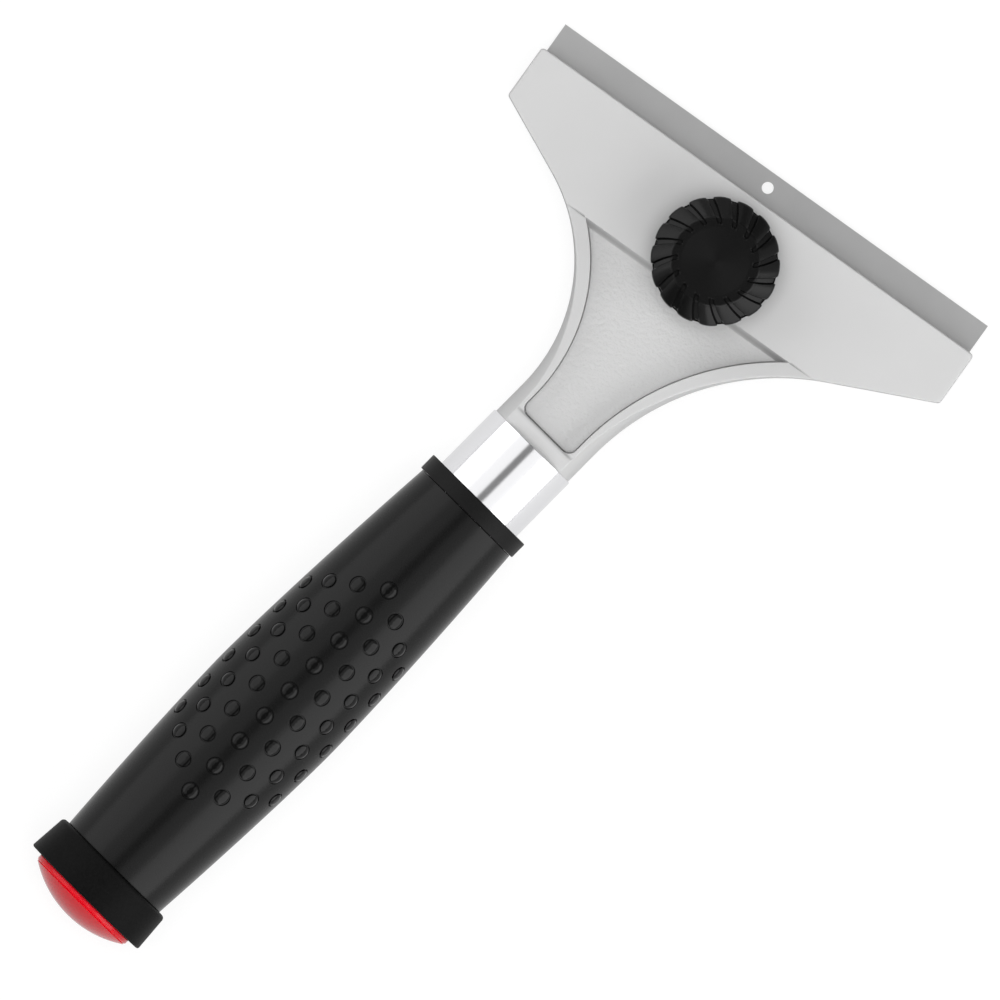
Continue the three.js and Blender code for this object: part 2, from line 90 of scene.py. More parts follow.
@dataclass(frozen=True)
class Axis:
    """A line that round pieces are turned about, with two directions square to it."""

    origin: tuple[float, float, float]
    along: tuple[float, float, float]
    right: tuple[float, float, float]
    up: tuple[float, float, float]

    def place(self, along: Array, right: Array, up: Array) -> Array:
        """Points at distances along the axis, to its right and above it.

        Args:
            along: Distances along the axis.
            right: Distances to its right.
            up: Distances above it.

        Returns:
            Points, with their three coordinates in the last dimension.
        """
        parts = [(along, self.along), (right, self.right), (up, self.up)]
        return np.array(self.origin) + sum(np.asarray(d)[..., None] * np.array(way) for d, way in parts)


@dataclass
class Solid:
    """A closed surface of four-sided faces, with larger flat faces at its ends."""

    points: Array
    quads: Array
    ends: list[list[int]] = field(default_factory=list)
    marks: dict[str, Array] = field(default_factory=dict)

    def volume(self) -> float:
        """Signed volume: a sixth of the sum of the triple products of the triangles of all faces.

        Returns:
            The volume, less than nothing where the faces point inwards.
        """
        fans = [np.column_stack([np.full(len(end) - 2, end[0]), end[1:-1], end[2:]]) for end in self.ends]
        triangles = np.concatenate([self.quads[:, [0, 1, 2]], self.quads[:, [0, 2, 3]], *fans])
        a, b, c = (self.points[triangles[:, k]] for k in range(3))
        return float(np.einsum("ij,ij->", a, np.cross(b, c))) / 6.0


def smoothstep(share: Array) -> Array:
    """Ease a share from 0 to 1 with level ends: 3 t squared less 2 t cubed.

    Args:
        share: Values, of which those outside 0 to 1 are held at the ends.

    Returns:
        Eased values.
    """
    t = np.clip(share, 0.0, 1.0)
    return t * t * (3.0 - 2.0 * t)


def edge_drop(distance: Array, radius: float) -> Array:
    """How far a quarter-round edge falls below its face: the radius less the root of its square less the
    square of what is left of it inward.

    Args:
        distance: Distances inward from the edge.
        radius: The edge's radius.

    Returns:
        Drops, from the whole radius at the edge to nothing a radius inward.
    """
    left = radius - np.clip(distance, 0.0, radius)
    return radius - np.sqrt(radius**2 - left**2)


def unit(vector: Array) -> Array:
    """The vector at length one."""
    return vector / np.linalg.norm(vector)


def rounded_path(corners: Sequence[Corner], closed: bool = False, steps: int = ARC_STEPS) -> Array:
    """Points of a path whose corners are arcs that touch both their straight neighbours.

    Args:
        corners: Two coordinates and the arc's radius of each corner.
        closed: Whether the last corner joins the first.
        steps: Steps of each arc.

    Returns:
        Points of the path, two coordinates each.
    """
    places = np.array([corner[:2] for corner in corners], float)
    share = np.linspace(0.0, 1.0, steps + 1)[:, None]
    pieces = []
    for i, (_, _, radius) in enumerate(corners):
        here = places[i]
        if radius == 0 or (not closed and i in (0, len(corners) - 1)):
            pieces.append(here[None])
            continue
        back = unit(places[i - 1] - here)
        onward = unit(places[(i + 1) % len(corners)] - here)
        half = 0.5 * math.acos(float(back @ onward))
        centre = here + unit(back + onward) * radius / math.sin(half)
        start = here + back * radius / math.tan(half) - centre
        end = here + onward * radius / math.tan(half) - centre
        sweep = math.pi - 2.0 * half
        arc = np.sin((1.0 - share) * sweep) * start + np.sin(share * sweep) * end
        pieces.append(centre + arc / math.sin(sweep))
    return np.concatenate(pieces)


def around(columns: int) -> Array:
    """Angles of the columns of a turned surface, in radians."""
    return 2.0 * np.pi * np.arange(columns) / columns


def turned(axis: Axis, radius: Array, along: Array, angle: Array) -> Array:
    """Rings about an axis: right is the radius times the angle's sine, up is the radius times its cosine.

    Args:
        axis: The axis.
        radius: Radius of each row, or of each point.
        along: Distance along the axis of each row, or of each point.
        angle: Angle of each column, or of each point.

    Returns:
        Points in rows and columns.
    """
    radius, along, angle = np.broadcast_arrays(radius, along, angle)
    return axis.place(along, radius * np.sin(angle), radius * np.cos(angle))


def lofted(rings: Array, joined: bool = False) -> Solid:
    """Join each ring of points to the next by four-sided faces.

    Args:
        rings: Points in rows and columns, where each row is a closed ring.
        joined: Whether the last ring joins the first; otherwise a flat face closes each end.

    Returns:
        The closed surface.
    """
    rows, columns = rings.shape[:2]
    index = np.arange(rows * columns).reshape(rows, columns)
    following = np.roll(index, -1, axis=0) if joined else index[1:]
    here = index if joined else index[:-1]
    corners = [here, np.roll(here, -1, axis=1), np.roll(following, -1, axis=1), following]
    ends = [] if joined else [index[0, ::-1].tolist(), index[-1].tolist()]
    return Solid(rings.reshape(-1, 3), np.stack(corners, axis=-1).reshape(-1, 4), ends)


def turned_profile(axis: Axis, corners: Sequence[Corner], closed: bool) -> Solid:
    """A profile with rounded corners, carried round an axis.

    Args:
        axis: The axis.
        corners: Radius, distance along and rounding of each corner.
        closed: Whether the profile is a loop clear of the axis.

    Returns:
        The closed surface.
    """
    profile = rounded_path(corners, closed)
    return lofted(turned(axis, profile[:, :1], profile[:, 1:], around(ROUND_COLUMNS)), joined=closed)


def sleeve_corners(bore: float, front: Corner, rear: Corner) -> list[Corner]:
    """Half section of a sleeve: its two outer corners, with a straight bore inside them.

    Args:
        bore: Radius of the bore.
        front: Radius, distance along and rounding of the outer corner in front.
        rear: The same of the outer corner behind.

    Returns:
        Radius, distance along and rounding of each corner.
    """
    return [(bore, front[1], 0.0), front, rear, (bore, rear[1], 0.0)]


@dataclass(frozen=True)
class Rows:
    """Lines across the head in plan, each with a middle point and a direction to its right."""

    middle: Array
    way: Array

    def meet(self, path: Array) -> Array:
        """Where each row meets a path: the path's distance behind the row changes sign there.

        Args:
            path: Points of a path that runs from the front to the back.

        Returns:
            Distance of the meeting point to the right of each row's middle.
        """
        behind = np.stack([self.way[:, 1], -self.way[:, 0]], axis=-1)
        gap = np.einsum("rpk,rk->rp", path[None] - self.middle[:, None], behind)
        after = np.argmax(gap > 0, axis=1)
        row = np.arange(len(after))
        share = gap[row, after - 1] / (gap[row, after - 1] - gap[row, after])
        point = path[after - 1] + share[:, None] * (path[after] - path[after - 1])
        return np.einsum("rk,rk->r", point - self.middle, self.way)

    def plan(self, across: Array) -> Array:
        """Points of the plan at distances to the right of each row's middle."""
        return self.middle[:, None] + across[..., None] * self.way[:, None]


@dataclass(frozen=True)
class Section:
    """Cross sections in rows: discs about the rows' middles, cut flat above and below, with fillets."""

    width: Array
    half: Array
    fillet: Array
    fillet_steps: int = 5
    wall_steps: int = 10

    def lean(self) -> Array:
        """Angle above level at which a fillet meets the disc's arc, so that both have one tangent."""
        height = (self.half - self.fillet) / (1.0 - self.fillet / self.width)
        return np.arcsin(height / self.width)

    def flat(self) -> Array:
        """Distance from the middle to the edge of the flat top."""
        return (self.width - self.fillet) * np.cos(self.lean())

    def side(self) -> tuple[Array, Array]:
        """A side from the flat top's edge round to the flat bottom's: two fillets about points inside the
        disc's arc, and that arc between them.

        Returns:
            Distance from the middle and height above it, in rows and columns.
        """
        lean = self.lean()[:, None]
        width = self.width[:, None]
        fillet = self.fillet[:, None]
        share = np.linspace(0.0, 1.0, self.fillet_steps + 1)[1:]
        upper = np.pi / 2.0 + (lean - np.pi / 2.0) * share
        wall = lean * np.linspace(1.0, -1.0, self.wall_steps + 1)[1:-1]
        upper_out = (width - fillet) * np.cos(lean) + fillet * np.cos(upper)
        upper_high = (width - fillet) * np.sin(lean) + fillet * np.sin(upper)
        out = np.concatenate([upper_out, width * np.cos(wall), upper_out[:, ::-1]], axis=1)
        high = np.concatenate([upper_high, width * np.sin(wall), -upper_high[:, ::-1]], axis=1)
        return out, high


def section_rings(rows: Rows, left: Section, right: Section, across: Array, top: Array, low: Array) -> Array:
    """Rings of a body with a top and a bottom of the same columns, and a side at each end of the rows.

    Args:
        rows: The rows in plan.
        left: Sections of the left side.
        right: Sections of the right side.
        across: Distances of the top's columns to the right of the rows' middles.
        top: Heights of the top's points.
        low: Height of the bottom of each row.

    Returns:
        Points of the rings: the top from left to right, the right side, the bottom and the left side.
    """
    right_out, right_high = right.side()
    left_out, left_high = left.side()
    middle = (low + right.half)[:, None]
    bottom = np.broadcast_to(low[:, None], across.shape)
    out = np.concatenate([across, right_out, across[:, ::-1], -left_out[:, ::-1]], axis=1)
    high = np.concatenate([top, middle + right_high, bottom, middle + left_high[:, ::-1]], axis=1)
    return np.concatenate([rows.plan(out), high[..., None]], axis=-1)


class BoreShape(Enum):
    """Outline of a hole."""

    ROUND = "round"
    SQUARE = "square"


@dataclass(frozen=True)
class BoreRing:
    """A ring of an upright hole: its outline, half its width and its height."""

    shape: BoreShape
    half: float
    height: float


def pierced(rings: Array, top_columns: int, reach: float, bore: Sequence[BoreRing]) -> Solid:
    """Join rings into a body with an upright hole about the Z axis.

    The faces of a patch round the axis are left out of the top and the bottom. The borders of the two patches
    are joined through the rings of the hole, whose points lie at the border points' own angles.

    Args:
        rings: Points of the rings, as section_rings gives them.
        top_columns: Number of the top's columns.
        reach: Half the width of the patch.
        bore: The hole's rings from the top down.

    Returns:
        The closed surface.
    """
    solid = lofted(rings)
    columns = rings.shape[1]
    inside = np.abs(rings[:, :top_columns, :2]).max(axis=-1) < reach
    rows_in = np.flatnonzero(inside.any(axis=1))
    columns_in = np.flatnonzero(inside.any(axis=0))
    front, back = rows_in[0] - 1, rows_in[-1] + 1
    left, right = columns_in[0] - 1, columns_in[-1] + 1
    mirror = columns // 2 + top_columns - 1

    keep = np.ones((len(rings) - 1, columns), bool)
    keep[front:back, left:right] = False
    keep[front:back, mirror - right:mirror - left] = False

    over = np.arange(left, right)
    down = np.arange(front, back)
    sizes = (len(over), len(down))
    row = np.concatenate([np.full(sizes[0], front), down, np.full(sizes[0], back), down[::-1] + 1])
    column = np.concatenate([over, np.full(sizes[1], right), over[::-1] + 1, np.full(sizes[1], left)])
    way = rings[row, column, :2]
    way = way / np.linalg.norm(way, axis=-1, keepdims=True)
    stretch = {BoreShape.ROUND: 1.0, BoreShape.SQUARE: 1.0 / np.abs(way).max(axis=-1, keepdims=True)}

    points = [solid.points]
    loops = [row * columns + column]
    for ring in bore:
        loops.append(sum(len(p) for p in points) + np.arange(len(way)))
        plan = way * ring.half * stretch[ring.shape]
        points.append(np.column_stack([plan, np.full(len(way), ring.height)]))
    loops.append(row * columns + mirror - column)
    strips = [np.stack([a, np.roll(a, -1), np.roll(b, -1), b], axis=-1) for a, b in zip(loops, loops[1:])]
    quads = np.concatenate([solid.quads[keep.ravel()], *strips])
    return Solid(np.concatenate(points), quads, solid.ends)


def spaced(ends: Sequence[float], steps: Sequence[float]) -> Array:
    """Rising places that fill spans evenly, each span with its own greatest step.

    Args:
        ends: Where the first span begins and where each span ends.
        steps: Greatest step of each span.

    Returns:
        All the places, each once.
    """
    spans = zip(ends, ends[1:], steps)
    runs = [np.linspace(a, b, math.ceil((b - a) / step) + 1) for a, b, step in spans]
    return np.unique(np.concatenate(runs).round(5))


# Finishes


def linear(hex_colour: str) -> tuple[float, float, float, float]:
    """Turn an sRGB hex colour into linear values by the standard curve: a straight foot, then a power.

    Args:
        hex_colour: Colour as six hex digits after a hash.

    Returns:
        Linear red, green, blue and an alpha of one.
    """
    shares = [int(hex_colour[i:i + 2], 16) / 255.0 for i in (1, 3, 5)]
    values = [s / 12.92 if s <= 0.04045 else ((s + 0.055) / 1.055) ** 2.4 for s in shares]
    return (*values, 1.0)


def per_metre(size: float) -> float:
    """Texture scale whose features are about a size in millimetres."""
    return 1.0 / (size * MM)


def add_node(tree: Tree, kind: str, inputs: dict[str | int, object], **settings: object) -> bpy.types.Node:
    """Add a node, set it up and link it.

    Args:
        tree: The node tree.
        kind: The node's type.
        inputs: Values, or sockets to link, by the input's name or number.
        settings: The node's own settings.

    Returns:
        The node.
    """
    node = tree.nodes.new(kind)
    for name, value in settings.items():
        setattr(node, name, value)
    for name, value in inputs.items():
        if isinstance(value, Socket):
            tree.links.new(value, node.inputs[name])
        else:
            node.inputs[name].default_value = value
    return node


class Pattern(Enum):
    """How the grain of a finish lies."""

    EVEN = (1.0, 1.0, 1.0)
    ALONG_BLADE = (0.02, 1.0, 1.0)


@dataclass(frozen=True)
class Finish:
    """A surface with a colour that drifts, a fine grain in relief and a gloss that varies with it."""

    name: str
    colour: str
    drift_colour: str
    drift: float
    grain: float
    relief: float
    roughness: tuple[float, float]
    metallic: float = 0.0
    ior: float = 1.5
    specular: float = 0.5
    sheen: float = 0.0
    sheen_roughness: float = 0.3
    pattern: Pattern = Pattern.EVEN

    def material(self) -> Material:
        """The finish as a material, made once.

        Returns:
            The material.
        """
        made = bpy.data.materials.get(self.name)
        if made is None:
            made = bpy.data.materials.new(self.name)
            made.use_nodes = True
            self.paint(made.node_tree)
        return made

    def paint(self, tree: Tree) -> None:
        """Lay out the nodes: broad noise mixes the two colours, fine noise gives relief and gloss.

        Args:
            tree: The material's empty node tree.
        """
        shader = tree.nodes["Principled BSDF"]
        place = add_node(tree, "ShaderNodeTexCoord", {}).outputs["Object"]
        drawn = {"Vector": place, "Scale": self.pattern.value}
        drawn_place = add_node(tree, "ShaderNodeMapping", drawn).outputs["Vector"]
        noise = {"Vector": place, "Scale": per_metre(self.drift), "Detail": BROAD_DETAIL}
        broad = add_node(tree, "ShaderNodeTexNoise", noise).outputs["Fac"]
        fine = self.fine_grain(tree, drawn_place)
        colour = self.tint(tree, broad)
        height = {"Height": fine, "Distance": self.relief * MM, "Strength": 1.0}
        bump = add_node(tree, "ShaderNodeBump", height).outputs["Normal"]
        tree.links.new(colour, shader.inputs["Base Color"])
        tree.links.new(self.gloss(tree, fine), shader.inputs["Roughness"])
        tree.links.new(bump, shader.inputs["Normal"])
        shader.inputs["Metallic"].default_value = self.metallic
        shader.inputs["IOR"].default_value = self.ior
        shader.inputs["Specular IOR Level"].default_value = self.specular
        shader.inputs["Sheen Weight"].default_value = self.sheen
        shader.inputs["Sheen Roughness"].default_value = self.sheen_roughness

    def tint(self, tree: Tree, broad: Socket) -> Socket:
        """The two colours mixed by the broad noise.

        Args:
            tree: The material's node tree.
            broad: The noise.

        Returns:
            The colour.
        """
        ends = {MIX_SHARE: broad, MIX_FIRST: linear(self.colour), MIX_SECOND: linear(self.drift_colour)}
        return add_node(tree, "ShaderNodeMix", ends, data_type="RGBA").outputs[MIX_RESULT]

    def fine_grain(self, tree: Tree, place: Socket) -> Socket:
        """Noise of the grain's size.

        Args:
            tree: The material's node tree.
            place: Coordinates of the pattern.

        Returns:
            The height of the grain, from 0 to 1.
        """
        noise = {"Vector": place, "Scale": per_metre(self.grain), "Detail": FINE_DETAIL}
        return add_node(tree, "ShaderNodeTexNoise", noise).outputs["Fac"]

    def gloss(self, tree: Tree, fine: Socket) -> Socket:
        """Roughness that goes from one end of its range to the other with the grain.

        Args:
            tree: The material's node tree.
            fine: The height of the grain.

        Returns:
            The roughness.
        """
        ends = {"Value": fine, "To Min": self.roughness[0], "To Max": self.roughness[1]}
        return add_node(tree, "ShaderNodeMapRange", ends).outputs["Result"]


@dataclass(frozen=True)
class CastFinish(Finish):
    """Lacquered casting, smooth on the machined faces and grained in the recess."""

    recess_mark: str = "recess"
    recess_grain: float = 0.8
    recess_gain: float = 45.0
    # Painted light: a paler colour that lifts the shade in the recess
    recess_lift_colour: str = "#cccccc"
    # Painted shade: a darker colour on the recess's walls, in the scored lines and in the moat
    wall_shade_mark: str = "wall"
    wall_shade_colour: str = "#949494"

    def tint(self, tree: Tree, broad: Socket) -> Socket:
        """The smooth faces' colours, a paler one where the surface is marked as recess, painted light that
        lifts the recess's shade, and a darker one on the recess's walls, in the scored lines and in the moat,
        painted shade.

        Args:
            tree: The material's node tree.
            broad: The noise that mixes the smooth faces' colours.

        Returns:
            The colour.
        """
        colour = super().tint(tree, broad)
        for name, marked in ((self.recess_mark, self.recess_lift_colour), (self.wall_shade_mark, self.wall_shade_colour)):
            mark = add_node(tree, "ShaderNodeAttribute", {}, attribute_name=name).outputs["Fac"]
            ends = {MIX_SHARE: mark, MIX_FIRST: colour, MIX_SECOND: linear(marked)}
            colour = add_node(tree, "ShaderNodeMix", ends, data_type="RGBA").outputs[MIX_RESULT]
        return colour

    def fine_grain(self, tree: Tree, place: Socket) -> Socket:
        """Fine noise, plus a coarser noise where the surface is marked as recess.

        Args:
            tree: The material's node tree.
            place: Coordinates of the pattern.

        Returns:
            The height of the grain.
        """
        fine = super().fine_grain(tree, place)
        noise = {"Vector": place, "Scale": per_metre(self.recess_grain), "Detail": COARSE_DETAIL}
        coarse = add_node(tree, "ShaderNodeTexNoise", noise).outputs["Fac"]
        mark = add_node(tree, "ShaderNodeAttribute", {}, attribute_name=self.recess_mark).outputs["Fac"]
        gain = {0: mark, 1: self.recess_gain}
        weight = add_node(tree, "ShaderNodeMath", gain, operation="MULTIPLY").outputs[0]
        total = {0: coarse, 1: weight, 2: fine}
        return add_node(tree, "ShaderNodeMath", total, operation="MULTIPLY_ADD").outputs[0]


@dataclass(frozen=True)
class StudFinish(Finish):
    """Rubber with studs that leave the mould smoother than the sleeve round them."""

    stud_mark: str = "stud"
    stud_smoothness: float = 0.75

    def gloss(self, tree: Tree, fine: Socket) -> Socket:
        """The sleeve's roughness, made less where the surface is marked as stud.

        Args:
            tree: The material's node tree.
            fine: The height of the grain.

        Returns:
            The roughness.
        """
        sleeve = super().gloss(tree, fine)
        mark = add_node(tree, "ShaderNodeAttribute", {}, attribute_name=self.stud_mark).outputs["Fac"]
        less = {0: mark, 1: -self.stud_smoothness, 2: 1.0}
        share = add_node(tree, "ShaderNodeMath", less, operation="MULTIPLY_ADD").outputs[0]
        return add_node(tree, "ShaderNodeMath", {0: sleeve, 1: share}, operation="MULTIPLY").outputs[0]


# Die-cast aluminium under satin silver lacquer: pale, soft gloss, and a sandy grain left in the recess
SILVER_CASTING = CastFinish(
    "die_cast_aluminium_silver_lacquer", "#cacaca", "#c5c5c5", drift=14.0, grain=0.35, relief=0.004,
    roughness=(0.5, 0.58), metallic=0.05, specular=0.14,
)
# Cold-rolled steel ground along its length: grey, with faint lines drawn along the blade
GROUND_STEEL = Finish(
    "spring_steel_ground", "#c9c9c9", "#c1c1c1", drift=9.0, grain=0.12, relief=0.0012,
    roughness=(0.3, 0.42), metallic=1.0, pattern=Pattern.ALONG_BLADE,
)
# Mild steel with bright zinc plating: bluish grey with a cloudy gloss
ZINC_PLATE = Finish(
    "mild_steel_zinc_plated", "#b8bac0", "#aeb2bc", drift=4.0, grain=0.2, relief=0.003,
    roughness=(0.24, 0.42), metallic=1.0,
)
# Drawn steel tube with polished chrome plating: a near mirror, hardly clouded
CHROME_PLATE = Finish(
    "steel_tube_chrome_plated", "#f2f2f3", "#ededf0", drift=20.0, grain=6.0, relief=0.0005,
    roughness=(0.13, 0.17), metallic=1.0,
)
# Turned brass: warm, with the cutter's fine marks
TURNED_BRASS = Finish(
    "brass_turned", "#c9a24a", "#bd9540", drift=3.0, grain=0.1, relief=0.003,
    roughness=(0.25, 0.4), metallic=1.0,
)
# Polypropylene from a spark-eroded mould: black and dull, with an even grain drawn coarser than the real one
RING_PLASTIC = Finish(
    "polypropylene_moulded_matt", "#020202", "#101010", drift=0.6, grain=0.3, relief=0.03,
    roughness=(0.42, 0.58), specular=0.065,
)
# The same plastic from a finer-grained mould: a little brighter, with a softer grain
COLLAR_PLASTIC = Finish(
    "polypropylene_moulded_satin", "#080808", "#121212", drift=0.6, grain=0.3, relief=0.02,
    roughness=(0.4, 0.52), specular=0.13,
)
# Nylon from a smooth mould: black with a soft sheen and slight moulding haze
KNOB_PLASTIC = Finish(
    "nylon_moulded_satin", "#060606", "#0a0a0a", drift=4.0, grain=0.3, relief=0.006,
    roughness=(0.2, 0.28), specular=0.21,
)
# Thermoplastic rubber from a polished mould: black and satin, smeared by handling, with glossier studs
GRIP_RUBBER = StudFinish(
    "thermoplastic_rubber_moulded", "#050505", "#090909", drift=11.0, grain=0.5, relief=0.012,
    roughness=(0.22, 0.3), specular=0.215, sheen=0.02,
)
# Polystyrene from a polished mould: glossy red that mirrors what is round it
GLOSS_RED = Finish(
    "polystyrene_moulded_gloss", "#f40c24", "#ec0a20", drift=6.0, grain=1.5, relief=0.002,
    roughness=(0.12, 0.2), specular=0.24,
)


# Pieces of the scraper


def body_and_slot(node: str) -> tuple[str, str]:
    """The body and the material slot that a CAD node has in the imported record.

    Args:
        node: The node's name.

    Returns:
        Names of the body and of the slot.
    """
    slots = {part["node"]: part["material_slot"] for part in frame["record"]["subparts"]}
    return frame["nodes"][node]["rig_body"], slots[node]


def add_piece(name: str, solid: Solid, finish: Finish, node: str) -> None:
    """Make a surface into an object that stands for a CAD node.

    Args:
        name: The object's name.
        solid: The surface, in millimetres.
        finish: The surface's finish.
        node: The CAD node that it stands for.
    """
    way = 1 if solid.volume() > 0 else -1
    faces = solid.quads[:, ::way].tolist() + [end[::way] for end in solid.ends]
    mesh = bpy.data.meshes.new(name)
    mesh.from_pydata((solid.points * MM).tolist(), [], faces)
    for mark, values in solid.marks.items():
        mesh.attributes.new(mark, "FLOAT", "POINT").data.foreach_set("value", values.astype(np.float32))
    mesh.shade_smooth()
    mesh.set_sharp_from_angle(angle=SHARP_ANGLE)
    mesh.materials.append(finish.material())
    piece = bpy.data.objects.new(name, mesh)
    bpy.context.scene.collection.objects.link(piece)
    body, slot = body_and_slot(node)
    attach(piece, body)
    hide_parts(node)
    log.info("%s rides on %s in place of %s, %d faces", name, body, node, len(faces))


def dress_node(node: str, finish: Finish) -> None:
    """Give a CAD node a finish.

    Args:
        node: The node's name.
        finish: The finish.
    """
    for slot in frame["nodes"][node].material_slots:
        slot.material = finish.material()
    log.info("%s keeps its shape and takes %s", node, finish.name)


@dataclass(frozen=True)
class HandleLine:
    """The handle's axis: skewed from square to the blade, at a height above the floor."""

    skew: float = 9.2
    height: float = 14.5

    def axis(self) -> Axis:
        """The axis in space, pointing away from the blade.

        Returns:
            The axis, from the point above the part's origin.
        """
        turn = math.radians(self.skew)
        along = (-math.sin(turn), -math.cos(turn), 0.0)
        right = (math.cos(turn), -math.sin(turn), 0.0)
        return Axis((0.0, 0.0, self.height), along, right, (0.0, 0.0, 1.0))


class Side(Enum):
    """A side of the handle, as the sign of distances to its right."""

    LEFT = -1.0
    RIGHT = 1.0


HANDLE = HandleLine()
BOLT_AXIS = Axis((0.0, 0.0, 0.0), (0.0, 0.0, 1.0), (1.0, 0.0, 0.0), (0.0, 1.0, 0.0))


@dataclass(frozen=True)
class HeadPlan:
    """Plan outline of the head: square jaw ends, sloping shoulders, hollow curves and a neck."""

    jaw_half: float = 51.1
    jaw_front: float = 14.3
    jaw_end: float = 11.4
    corner: float = 0.8
    shoulder_angle: float = 25.0
    left_radius: float = 34.0
    right_radius: float = 50.0
    neck_radius: float = 9.7
    beyond: float = 60.0
    arc_steps: int = 60

    def outline(self, side: Side, inset: float) -> Array:
        """One side of the outline, drawn in by an inset and carried on past the front and the neck's end.

        Args:
            side: Which side.
            inset: How far it is drawn in.

        Returns:
            Points of the side from the front to the back.
        """
        sign = side.value
        radius = self.right_radius if side is Side.RIGHT else self.left_radius
        slope = math.radians(self.shoulder_angle)
        way = np.array([-sign * math.cos(slope), -math.sin(slope)])
        inward = np.array([-sign * math.sin(slope), math.cos(slope)])
        end = sign * (self.jaw_half - inset)
        on_shoulder = np.array([sign * self.jaw_half, self.jaw_front - self.jaw_end]) + inset * inward
        tip = on_shoulder + way * (end - on_shoulder[0]) / way[0]
        along = np.array(HANDLE.axis().along[:2])
        beside = sign * (self.neck_radius - inset) * np.array(HANDLE.axis().right[:2])
        run, _ = np.linalg.solve(np.column_stack([way, -along]), beside - tip)
        armpit = tip + run * way
        last = beside + 2.0 * self.beyond * along
        corners = [(end, self.beyond, 0.0), (*tip, self.corner), (*armpit, radius + inset), (*last, 0.0)]
        return rounded_path(corners, steps=self.arc_steps)


PLAN = HeadPlan()


